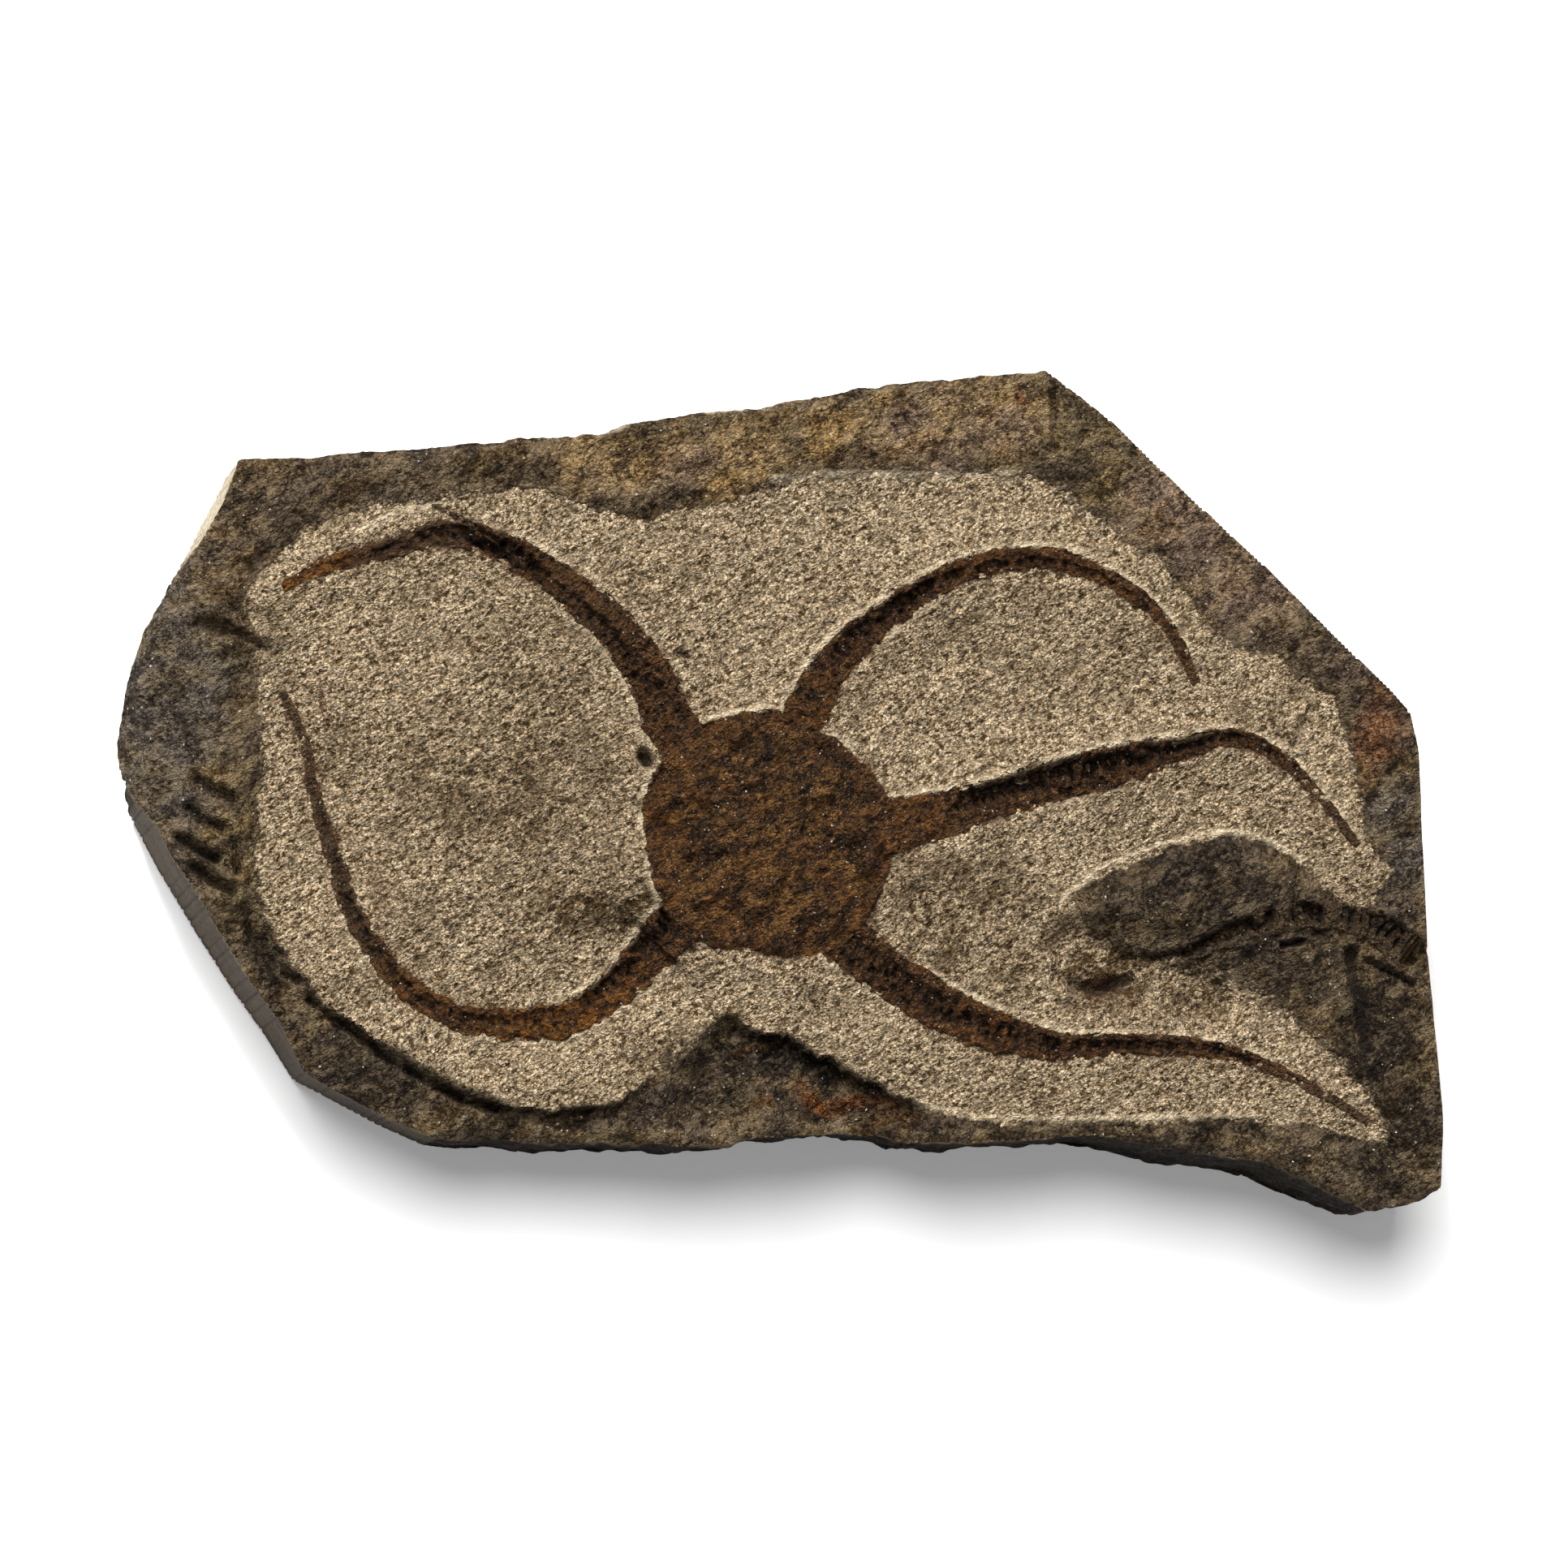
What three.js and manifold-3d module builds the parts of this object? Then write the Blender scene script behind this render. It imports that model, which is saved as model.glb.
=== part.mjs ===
// A brittle star fossil on its stone slab, in millimetres, +Z out of the fossil face.
// The slab is a sawn and broken block of pale sandstone. Its face keeps a rim of dark
// natural crust around a paler hollow, cleared by a preparator, where the star lies.
// The star is a round disc with five long curled arms, each seated in its own bed in
// the stone. A short arm of a second star breaks through the crust at the right edge.
// The origin is at the middle of the slab's outline, on the flat underside.
import * as THREE from 'three';
import Module from 'manifold-3d';
import { mergeVertices } from 'three/addons/utils/BufferGeometryUtils.js';

const wasm = await Module();
wasm.setup();

// ---- driving dimensions -------------------------------------------------------
const CLEARED_LEVEL = 16.2; // height of the cleared stone around the star
const CRUST_RISE = 0.9; // how far the natural crust stands above the cleared stone
const CRUST_STEP = 2.4; // width of the slope between them
const RIDGE_RISE = 0.8; // the stone left standing against the arms
const RIDGE_REACH = 3.6; // and how far it reaches out from them
const BED_DEPTH = 2.4; // depth of the star's beds below the face
const SEAT_GAP = 0.3; // gap between the star's pieces and their beds
const DISC_RISE = 0.9; // how far the disc's middle stands proud
const DISC_CENTRE = [-2.6, -5.5];
const GROOVE_DEPTH = 0.9; // the furrow along the middle of an arm
const RIB_HEIGHT = 0.16; // each solid rib stands for three of an arm's plates
const RIB_PITCH = 3.4;
const UNDERSIDE_BEVEL = 1.2; // worn arris round the flat underside

// The slab's top edge, anticlockwise: x, y, and how far the foot of the wall stands
// out beyond the top edge there (negative where the broken wall undercuts it).
const SLAB_EDGE = [
  // upper left, sawn
  [-58.5, 33.0, 0.3], [-60.2, 28.3, 0.9], [-62.9, 23.5, 0.6],
  // left, natural crust rolling over a broken wall
  [-65.6, 19.8, -1.2], [-67.9, 15.3, -2.4], [-69.7, 10.0, -2.6], [-70.7, 2.7, -2.6],
  [-70.3, 0.4, -2.0], [-68.8, -2.9, 0.0],
  // lower left, sawn
  [-66.6, -5.7, 0.6], [-65.1, -8.7, 0.5], [-61.4, -14.4, 0.7], [-56.9, -21.5, 0.6],
  [-53.4, -26.3, 0.6], [-51.1, -31.1, 0.0], [-47.2, -33.3, -0.2], [-42.3, -35.9, -0.2],
  // bottom, broken in shallow bites
  [-37.0, -38.0, 0.0], [-32.1, -37.9, 0.2], [-24.9, -38.3, 0.2], [-19.5, -38.0, 0.2],
  [-11.9, -38.5, 0.0], [-8.1, -38.4, -0.2], [-1.7, -37.5, -0.4], [3.4, -37.2, -0.6],
  [10.0, -37.0, -0.2], [12.7, -38.0, 0.0], [18.6, -38.0, -0.2], [25.6, -37.6, -0.2],
  [33.0, -37.1, 0.2], [39.2, -38.0, 0.4], [44.1, -38.8, 0.4], [50.8, -39.7, 0.4],
  [53.7, -40.9, 0.2], [59.2, -43.3, 0.0], [62.5, -44.8, -0.3], [67.3, -44.2, -0.5],
  [70.4, -42.6, -0.5],
  // right and upper right, sawn
  [70.6, -35.2, 0.0], [69.9, -25.6, 0.0], [69.2, -17.8, 0.0], [68.7, -4.7, 0.0],
  [68.4, 4.5, 0.0], [67.5, 8.6, 0.0], [65.4, 11.0, 0.0], [59.8, 16.2, 0.0],
  [51.9, 23.9, 0.0], [43.2, 31.6, 0.0], [35.0, 39.3, 0.0], [31.6, 41.9, 0.0],
  [27.6, 44.8, 0.0],
  // top, broken
  [18.1, 43.7, 0.2], [7.5, 42.4, -0.3], [-1.7, 40.2, 0.2], [-9.1, 39.3, 0.2],
  [-17.6, 37.7, 0.3], [-20.5, 36.8, 0.0], [-35.9, 35.1, 0.0], [-47.0, 34.0, 0.0],
];

// The edge of the cleared stone, anticlockwise.
const CLEARED_EDGE = [
  [-57.8, 17.8], [-56.0, 13.5], [-56.3, 8.0], [-55.3, 2.4], [-56.2, -6.5],
  [-55.6, -14.2], [-52.1, -20.0], [-48.4, -24.3], [-43.8, -27.9], [-37.2, -32.2],
  [-31.0, -34.3], [-24.5, -34.6], [-17.9, -33.8], [-13.0, -29.6], [-9.1, -25.4],
  [-6.0, -24.6], [-1.4, -26.4], [6.3, -30.2], [14.1, -33.5], [19.8, -35.4],
  [28.5, -35.6], [41.7, -35.2], [50.0, -34.9], [59.4, -36.3], [64.5, -37.5],
  [62.1, -32.2], [58.5, -27.9], [54.1, -24.0], [48.8, -20.6], [43.5, -18.9],
  [37.4, -16.8], [32.1, -14.7], [29.7, -12.0], [33.0, -9.4], [40.2, -6.3],
  [47.0, -4.7], [51.2, -5.2], [56.0, -7.9], [59.5, -11.6], [62.5, -12.5],
  [65.4, -8.6], [61.8, -4.5], [61.5, 2.7], [58.9, 10.4], [52.0, 14.5],
  [46.4, 16.3], [43.3, 20.4], [39.2, 25.1], [33.2, 28.6], [27.4, 33.1],
  [13.5, 33.0], [2.3, 32.5], [-7.8, 29.3], [-15.1, 27.7], [-20.7, 28.6],
  [-26.5, 30.8], [-37.5, 29.8], [-44.8, 28.2], [-51.6, 25.6], [-56.3, 21.2],
];

// The disc's outline, anticlockwise.
const DISC_EDGE = [
  [-1.3, 7.6], [-5.3, 7.1], [-10.1, 5.7], [-14.4, 1.4], [-15.7, -3.3], [-15.4, -7.0],
  [-14.1, -12.2], [-9.4, -17.2], [-4.9, -17.9], [2.6, -18.6], [7.0, -15.8],
  [9.2, -12.8], [10.6, -8.5], [10.2, -1.2], [8.3, 1.6], [4.7, 4.6],
];

// Each arm's middle line from the disc outwards: x, y and half width.
const ARMS = {
  arm_upper_left: [
    [-8.5, -0.5, 2.9], [-12.3, 5.0, 2.9], [-15.0, 10.9, 2.5], [-19.5, 16.6, 2.2],
    [-25.4, 21.3, 1.9], [-31.3, 24.5, 1.6], [-36.8, 25.7, 1.3], [-42.8, 23.8, 1.1],
    [-49.3, 21.9, 0.8], [-54.4, 19.4, 0.5],
  ],
  arm_upper_right: [
    [-1.0, 1.0, 2.8], [1.5, 6.8, 2.6], [5.1, 13.2, 2.1], [10.7, 18.1, 1.6],
    [17.4, 22.3, 1.35], [24.2, 24.2, 1.3], [29.7, 24.1, 1.15], [36.1, 21.3, 0.95],
    [40.5, 17.7, 0.7], [44.2, 10.7, 0.45],
  ],
  arm_right: [
    [4.0, -6.0, 3.2], [9.7, -4.7, 3.1], [15.0, -3.6, 2.6], [21.7, -1.5, 2.1],
    [29.9, 0.9, 2.3], [38.0, 3.1, 1.95], [42.9, 4.5, 1.2], [48.3, 5.4, 0.9],
    [53.5, 3.1, 0.75], [58.0, -1.5, 0.55], [61.8, -6.3, 0.4],
  ],
  arm_lower_right: [
    [0.5, -12.0, 3.0], [5.4, -16.4, 2.9], [10.9, -20.4, 2.5], [17.3, -24.3, 2.45],
    [22.4, -26.3, 2.2], [28.7, -27.7, 1.55], [35.8, -27.5, 1.1], [44.8, -27.8, 0.9],
    [52.6, -30.0, 0.65], [63.0, -35.7, 0.4],
  ],
  arm_lower_left: [
    [-6.5, -10.0, 3.2], [-11.1, -14.4, 3.1], [-16.8, -20.4, 2.1], [-22.3, -24.7, 1.9],
    [-28.4, -25.9, 1.7], [-35.8, -24.9, 1.4], [-41.5, -21.1, 1.25], [-46.0, -14.8, 1.05],
    [-48.3, -8.1, 0.9], [-50.1, -2.6, 0.7], [-51.6, 4.1, 0.55], [-54.0, 9.2, 0.4],
  ],
  stray_arm: [
    [43.0, -17.4, 0.8], [48.0, -15.2, 1.3], [55.1, -13.4, 1.4],
    [60.0, -13.6, 1.4], [63.5, -14.0, 1.4], [67.6, -16.4, 1.4],
  ],
};

// Places where the face lies above or below its usual level, each a path with a
// reach either side of it and a rise. They shape the crust and the broken rim, and
// stop at the edge of the cleared stone unless they are dug into it.
const SWELLS = [
  // broken rim, lower left
  { rise: -2.6, reach: 5.5, path: [[-57, -22], [-50, -29.5], [-42, -36], [-30, -39], [-19, -38.5]] },
  // broken hollow, bottom
  { rise: -2.2, reach: 5.0, path: [[-13, -36], [-6, -30], [2, -33.5], [10, -38]] },
  // crust island at the right, and the trough dug below it
  { rise: 0.7, reach: 6.0, path: [[35, -10], [44, -8.5], [52, -9.5]] },
  { rise: -1.2, reach: 4.0, path: [[31, -17.5], [38, -20], [45, -22.5]], dug: true },
  // crust at the lower right corner
  { rise: 0.6, reach: 8.0, path: [[60, -25], [66, -34]] },
];
const ROLL_START = -57; // the natural crust rolls down to the left from here
const ROLL_DROP = 4.5; // by this much at the left edge

// ---- small helpers -------------------------------------------------------------
const smooth = (a, b, v) => THREE.MathUtils.smoothstep(v, a, b);

function distanceToPath(x, y, path, closed) {
  let best = Infinity;
  const last = closed ? path.length : path.length - 1;
  for (let i = 0; i < last; i++) {
    const [ax, ay] = path[i];
    const [bx, by] = path[(i + 1) % path.length];
    const along = ((x - ax) * (bx - ax) + (y - ay) * (by - ay)) / ((bx - ax) ** 2 + (by - ay) ** 2);
    const t = THREE.MathUtils.clamp(along, 0, 1);
    best = Math.min(best, Math.hypot(x - ax - t * (bx - ax), y - ay - t * (by - ay)));
  }
  return best;
}

function isInside(x, y, loop) {
  let inside = false;
  for (let i = 0, j = loop.length - 1; i < loop.length; j = i++) {
    const [ax, ay] = loop[i];
    const [bx, by] = loop[j];
    if (ay > y !== by > y && x < ((bx - ax) * (y - ay)) / (by - ay) + ax) inside = !inside;
  }
  return inside;
}

// Uneven lumps of the stone, from about -1 to 1.
function lumps(x, y) {
  const broad = Math.sin(0.31 * x + 1.7 * Math.sin(0.16 * y)) * Math.cos(0.34 * y - 0.11 * x);
  const fine = Math.sin(0.83 * x + 1.1 * y) * Math.cos(0.97 * y - 0.55 * x + 2.0);
  return 0.6 * broad + 0.4 * fine;
}

// ---- the face of the stone -------------------------------------------------------
function distanceToStar(x, y) {
  let best = isInside(x, y, DISC_EDGE) ? 0 : distanceToPath(x, y, DISC_EDGE, true);
  for (const [name, line] of Object.entries(ARMS)) {
    if (name !== 'stray_arm') best = Math.min(best, distanceToPath(x, y, line, false));
  }
  return best;
}

function faceHeight(x, y) {
  const toEdge = distanceToPath(x, y, CLEARED_EDGE, true);
  const outside = isInside(x, y, CLEARED_EDGE) ? 0 : smooth(0, CRUST_STEP, toEdge);
  let z = CLEARED_LEVEL + CRUST_RISE * outside;
  z += (0.12 + 0.4 * outside) * lumps(x, y);
  z += RIDGE_RISE * Math.exp(-((distanceToStar(x, y) / RIDGE_REACH) ** 2));
  for (const { rise, reach, path, dug } of SWELLS) {
    const share = 1 - smooth(0.3 * reach, reach, distanceToPath(x, y, path, false));
    z += rise * share * (dug ? 1 : outside);
  }
  if (x < ROLL_START) z -= ROLL_DROP * ((ROLL_START - x) / (ROLL_START + 70.7)) ** 2;
  return z;
}

// ---- solids from rings and sections ----------------------------------------------
// Joins rows of points (each row a closed loop of the same length, anticlockwise seen
// from outside, the first row innermost on top) and closes both ends with a fan.
function solidFromLoops(rows, topPoint, bottomPoint) {
  const count = rows[0].length;
  const points = [topPoint, ...rows.flat(), bottomPoint];
  const at = (row, i) => 1 + row * count + (i % count);
  const faces = [];
  for (let i = 0; i < count; i++) {
    faces.push([0, at(0, i), at(0, i + 1)]);
    faces.push([points.length - 1, at(rows.length - 1, i + 1), at(rows.length - 1, i)]);
    for (let row = 0; row + 1 < rows.length; row++) {
      faces.push([at(row, i), at(row + 1, i), at(row + 1, i + 1)]);
      faces.push([at(row, i), at(row + 1, i + 1), at(row, i + 1)]);
    }
  }
  const geometry = new THREE.BufferGeometry();
  geometry.setAttribute('position', new THREE.Float32BufferAttribute(points.flat(), 3));
  geometry.setIndex(faces.flat());
  return geometry;
}

function toManifold(geometry) {
  const bare = geometry.clone();
  bare.deleteAttribute('normal');
  bare.deleteAttribute('uv');
  const merged = mergeVertices(bare, 1e-4);
  const vertProperties = new Float32Array(merged.attributes.position.array);
  const triVerts = new Uint32Array(merged.index.array);
  return new wasm.Manifold(new wasm.Mesh({ numProp: 3, vertProperties, triVerts }));
}

function toGeometry(solid) {
  const { vertProperties, triVerts } = solid.getMesh();
  const geometry = new THREE.BufferGeometry();
  geometry.setAttribute('position', new THREE.BufferAttribute(vertProperties, 3));
  geometry.setIndex(new THREE.BufferAttribute(triVerts, 1));
  return geometry;
}

// ---- slab ------------------------------------------------------------------------
const EDGE_STEP = 4.2;
const SLAB_RINGS = 15;
const INNER_RING = 0.16; // the innermost ring lies under the disc
const WALL_LEVELS = [0.8, 0.5, 0.22]; // heights of the wall's rows, as shares of it

function slabEdgePoints() {
  const edge = [];
  SLAB_EDGE.forEach(([ax, ay, aFoot], i) => {
    const [bx, by, bFoot] = SLAB_EDGE[(i + 1) % SLAB_EDGE.length];
    const steps = Math.max(1, Math.round(Math.hypot(bx - ax, by - ay) / EDGE_STEP));
    for (let s = 0; s < steps; s++) {
      const t = s / steps;
      const length = Math.hypot(bx - ax, by - ay);
      const outward = [(by - ay) / length, (ax - bx) / length];
      edge.push({ x: ax + t * (bx - ax), y: ay + t * (by - ay), outward,
        foot: aFoot + t * (bFoot - aFoot) });
    }
  });
  return edge;
}

function buildSlab() {
  const edge = slabEdgePoints();
  const [cx, cy] = DISC_CENTRE;
  const rows = [];
  for (let ring = 0; ring <= SLAB_RINGS; ring++) {
    const share = INNER_RING + (1 - INNER_RING) * (ring / SLAB_RINGS);
    rows.push(edge.map(({ x, y }) => {
      const px = cx + share * (x - cx);
      const py = cy + share * (y - cy);
      return [px, py, faceHeight(px, py)];
    }));
  }
  const stood = (p, level, outset) => {
    const z = level * faceHeight(p.x, p.y);
    const broken = p.foot === 0 ? 0 : 0.25 * lumps(2.1 * p.x + 3 * z, 2.1 * p.y - 2 * z);
    const out = p.foot * (1 - level) + broken + outset;
    return [p.x + out * p.outward[0], p.y + out * p.outward[1], z];
  };
  for (const level of WALL_LEVELS) rows.push(edge.map((p) => stood(p, level, 0)));
  rows.push(edge.map((p) => {
    const [x, y] = stood(p, 0, 0);
    return [x, y, UNDERSIDE_BEVEL];
  }));
  rows.push(edge.map((p) => {
    const [x, y] = stood(p, 0, -UNDERSIDE_BEVEL);
    return [x, y, 0];
  }));
  return solidFromLoops(rows, [cx, cy, faceHeight(cx, cy)], [cx, cy, 0]);
}

// ---- disc ------------------------------------------------------------------------
const DISC_RINGS = 5;
const DISC_POINTS = 36;

function discSurface(x, y) {
  const [cx, cy] = DISC_CENTRE;
  const away = Math.hypot(x - cx, y - cy) / 13;
  const dome = DISC_RISE * Math.max(0, 1 - away * away);
  const wrinkles = 0.18 * Math.sin(1.15 * (x + y) + 0.9 * Math.sin(0.5 * (x - y)));
  return CLEARED_LEVEL + RIDGE_RISE + dome + wrinkles;
}

// The disc, grown by a margin all round; a bed also reaches up out of the stone.
function buildDisc(margin, bedTop) {
  const [cx, cy] = DISC_CENTRE;
  const loop = new THREE.CatmullRomCurve3(
    DISC_EDGE.map(([x, y]) => new THREE.Vector3(x, y, 0)), true, 'centripetal');
  const edge = loop.getSpacedPoints(DISC_POINTS).slice(0, DISC_POINTS);
  const floor = CLEARED_LEVEL - BED_DEPTH - margin;
  const rows = [];
  for (let ring = 1; ring <= DISC_RINGS; ring++) {
    const share = ring / DISC_RINGS;
    rows.push(edge.map(({ x, y }) => {
      const grow = 1 + margin / Math.hypot(x - cx, y - cy);
      const px = cx + share * grow * (x - cx);
      const py = cy + share * grow * (y - cy);
      const rounded = 0.5 * smooth(0.8, 1, share);
      return [px, py, bedTop ?? discSurface(px, py) - rounded];
    }));
  }
  rows.push(rows.at(-1).map(([x, y]) => [x, y, floor]));
  return solidFromLoops(rows, [cx, cy, bedTop ?? discSurface(cx, cy)], [cx, cy, floor]);
}

// ---- arms ------------------------------------------------------------------------
// Across an arm: share of the half width, and depth below the face as a share of the
// furrow's depth. Two ribbed shoulders stand either side of the furrow.
const ARM_PROFILE = [[-1, 0.35], [-0.62, 0], [-0.22, 0.75], [0.22, 0.75], [0.62, 0], [1, 0.35]];

// An arm as a strip along its middle line, grown by a margin; a bed reaches up out of
// the stone and has no furrow.
function buildArm(line, margin, bedTop) {
  const curve = new THREE.CatmullRomCurve3(
    line.map(([x, y, half]) => new THREE.Vector3(x, y, half)), false, 'centripetal');
  const steps = Math.round(curve.getLength() / (RIB_PITCH / 2));
  const sections = [];
  for (let i = 0; i <= steps; i++) {
    const at = curve.getPointAt(i / steps);
    const tangent = curve.getTangentAt(i / steps).setZ(0).normalize();
    const left = [-tangent.y, tangent.x];
    const half = at.z + margin;
    const rib = i % 2 ? RIB_HEIGHT : -RIB_HEIGHT;
    const push = i === 0 ? -margin : i === steps ? margin : 0;
    const x = at.x + push * tangent.x;
    const y = at.y + push * tangent.y;
    const face = faceHeight(at.x, at.y);
    const furrow = GROOVE_DEPTH * smooth(0, 1.6, at.z);
    const section = ARM_PROFILE.map(([across, depth]) => {
      const reach = across * half;
      const z = bedTop ?? face - depth * furrow + rib * (1 - depth);
      return [x + reach * left[0], y + reach * left[1], z];
    });
    const floor = face - BED_DEPTH - margin;
    section.push([x + half * left[0], y + half * left[1], floor]);
    section.push([x - half * left[0], y - half * left[1], floor]);
    sections.push(section);
  }
  return solidFromSections(sections);
}

// Joins equal sections along a strip and caps both ends.
function solidFromSections(sections) {
  const count = sections[0].length;
  const points = sections.flat();
  const at = (row, i) => row * count + (i % count);
  const faces = [];
  for (let row = 0; row + 1 < sections.length; row++) {
    for (let i = 0; i < count; i++) {
      faces.push([at(row, i), at(row + 1, i), at(row + 1, i + 1)]);
      faces.push([at(row, i), at(row + 1, i + 1), at(row, i + 1)]);
    }
  }
  // The caps are strips between the profile and the floor, so that a furrow stays open.
  const last = sections.length - 1;
  for (let i = 0; i + 2 < count - 1; i++) {
    const apex = i < ARM_PROFILE.length / 2 ? count - 1 : count - 2;
    faces.push([at(0, apex), at(0, i), at(0, i + 1)]);
    faces.push([at(last, apex), at(last, i + 1), at(last, i)]);
  }
  const half = ARM_PROFILE.length / 2;
  faces.push([at(0, count - 1), at(0, half), at(0, count - 2)]);
  faces.push([at(last, count - 1), at(last, count - 2), at(last, half)]);
  const geometry = new THREE.BufferGeometry();
  geometry.setAttribute('position', new THREE.Float32BufferAttribute(points.flat(), 3));
  geometry.setIndex(faces.flat());
  return geometry;
}

// ---- assembly --------------------------------------------------------------------
const ABOVE_FACE = 24; // the beds' cutters reach up past the face

const sandstone = new THREE.MeshStandardMaterial({ color: '#a2947a', roughness: 0.95, metalness: 0 });
const fossil = new THREE.MeshStandardMaterial({ color: '#4a2f20', roughness: 0.6, metalness: 0 });

const brittleStar = new THREE.Group();

function addPiece(name, geometry, material) {
  const mesh = new THREE.Mesh(geometry, material);
  mesh.name = name;
  brittleStar.add(mesh);
}

const discBed = toManifold(buildDisc(SEAT_GAP, ABOVE_FACE));
let slab = toManifold(buildSlab()).subtract(discBed);
addPiece('disc', buildDisc(0), fossil);
for (const [name, line] of Object.entries(ARMS)) {
  slab = slab.subtract(toManifold(buildArm(line, SEAT_GAP, ABOVE_FACE)));
  addPiece(name, toGeometry(toManifold(buildArm(line, 0)).subtract(discBed)), fossil);
}
addPiece('slab', toGeometry(slab), sandstone);

export default brittleStar;
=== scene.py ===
"""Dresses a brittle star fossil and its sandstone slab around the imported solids.

Every shape below is worked out in millimetres in the slab's own frame, +X along the
slab, +Y towards its sawn top, +Z out of the fossil face, and becomes metres only when
it is written to a mesh.
"""

import math
from contextlib import contextmanager

import bpy
import numpy as np
from mathutils import Matrix, Vector


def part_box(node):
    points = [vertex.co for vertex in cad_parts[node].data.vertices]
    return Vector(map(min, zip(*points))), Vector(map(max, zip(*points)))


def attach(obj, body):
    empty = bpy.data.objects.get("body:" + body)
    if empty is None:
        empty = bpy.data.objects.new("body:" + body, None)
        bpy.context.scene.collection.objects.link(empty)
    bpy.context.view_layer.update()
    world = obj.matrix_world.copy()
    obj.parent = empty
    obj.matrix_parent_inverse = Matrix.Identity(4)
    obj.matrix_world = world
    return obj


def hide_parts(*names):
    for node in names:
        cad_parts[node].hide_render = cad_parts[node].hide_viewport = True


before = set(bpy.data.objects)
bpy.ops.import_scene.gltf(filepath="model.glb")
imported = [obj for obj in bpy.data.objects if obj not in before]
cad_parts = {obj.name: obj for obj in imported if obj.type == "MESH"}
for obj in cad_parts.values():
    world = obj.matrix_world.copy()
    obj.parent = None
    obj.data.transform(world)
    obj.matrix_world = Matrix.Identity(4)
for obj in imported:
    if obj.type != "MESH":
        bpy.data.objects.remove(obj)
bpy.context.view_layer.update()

bl_info = {
    "name": "Brittle Star Fossil",
    "version": (1, 0, 0),
    "blender": (4, 5, 0),
    "location": "3D View > Sidebar > Fossil",
    "description": "Models a brittle star fossil in its prepared sandstone slab",
    "category": "Add Mesh",
}

MM = 0.001
SLAB_LOW, SLAB_HIGH = [[side / MM for side in corner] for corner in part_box("slab")]

# ---- the stone's outline and levels, in millimetres -----------------------------------

CLEARED_LEVEL = 16.2
CRUST_RISE = 0.9
CRUST_STEP = 2.4
RIDGE_REACH = 3.6
UNDERSIDE_BEVEL = 1.2
BED_DROP = 1.9  # the stone below the star's pieces lies this much lower
PECK_SLANT = 0.6  # radians, the way the chisel was held

# The slab's top edge, anticlockwise: x, y, and how far the wall's foot stands out.
SLAB_EDGE = [
    # upper left, sawn
    (-58.5, 33.0, 0.3), (-60.2, 28.3, 0.9), (-62.9, 23.5, 0.6),
    # left, natural crust rolling over a broken wall
    (-65.6, 19.8, -1.2), (-67.9, 15.3, -2.4), (-69.7, 10.0, -2.6), (-70.7, 2.7, -2.6),
    (-70.3, 0.4, -2.0), (-68.8, -2.9, 0.0),
    # lower left, sawn
    (-66.6, -5.7, 0.6), (-65.1, -8.7, 0.5), (-61.4, -14.4, 0.7), (-56.9, -21.5, 0.6),
    (-53.4, -26.3, 0.6), (-51.1, -31.1, 0.0), (-47.2, -33.3, -0.2), (-42.3, -35.9, -0.2),
    # bottom, broken in shallow bites
    (-37.0, -38.0, 0.0), (-32.1, -37.9, 0.2), (-24.9, -38.3, 0.2), (-19.5, -38.0, 0.2),
    (-11.9, -38.5, 0.0), (-8.1, -38.4, -0.2), (-1.7, -37.5, -0.4), (3.4, -37.2, -0.6),
    (10.0, -37.0, -0.2), (12.7, -38.0, 0.0), (18.6, -38.0, -0.2), (25.6, -37.6, -0.2),
    (33.0, -37.1, 0.2), (39.2, -38.0, 0.4), (44.1, -38.8, 0.4), (50.8, -39.7, 0.4),
    (53.7, -40.9, 0.2), (59.2, -43.3, 0.0), (62.5, -44.8, -0.3), (67.3, -44.2, -0.5),
    (70.4, -42.6, -0.5),
    # right and upper right, sawn
    (70.6, -35.2, 0.0), (69.9, -25.6, 0.0), (69.2, -17.8, 0.0), (68.7, -4.7, 0.0),
    (68.4, 4.5, 0.0), (67.5, 8.6, 0.0), (65.4, 11.0, 0.0), (59.8, 16.2, 0.0),
    (51.9, 23.9, 0.0), (43.2, 31.6, 0.0), (35.0, 39.3, 0.0), (31.6, 41.9, 0.0),
    (27.6, 44.8, 0.0),
    # top, broken
    (18.1, 43.7, 0.2), (7.5, 42.4, -0.3), (-1.7, 40.2, 0.2), (-9.1, 39.3, 0.2),
    (-17.6, 37.7, 0.3), (-20.5, 36.8, 0.0), (-35.9, 35.1, 0.0), (-47.0, 34.0, 0.0),
]
SLAB_LOOP = [(x, y) for x, y, _ in SLAB_EDGE]
SLAB_MIDDLE = (-2.6, -5.5)

# Stretches of the outline that a saw cut, each from one point of it to another; the
# rest is broken.
SAWN = [
    ((-58.5, 33.0), (-62.9, 23.5)), ((-68.8, -2.9), (-37.0, -38.0)), ((70.4, -42.6), (27.6, 44.8)),
]

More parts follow.
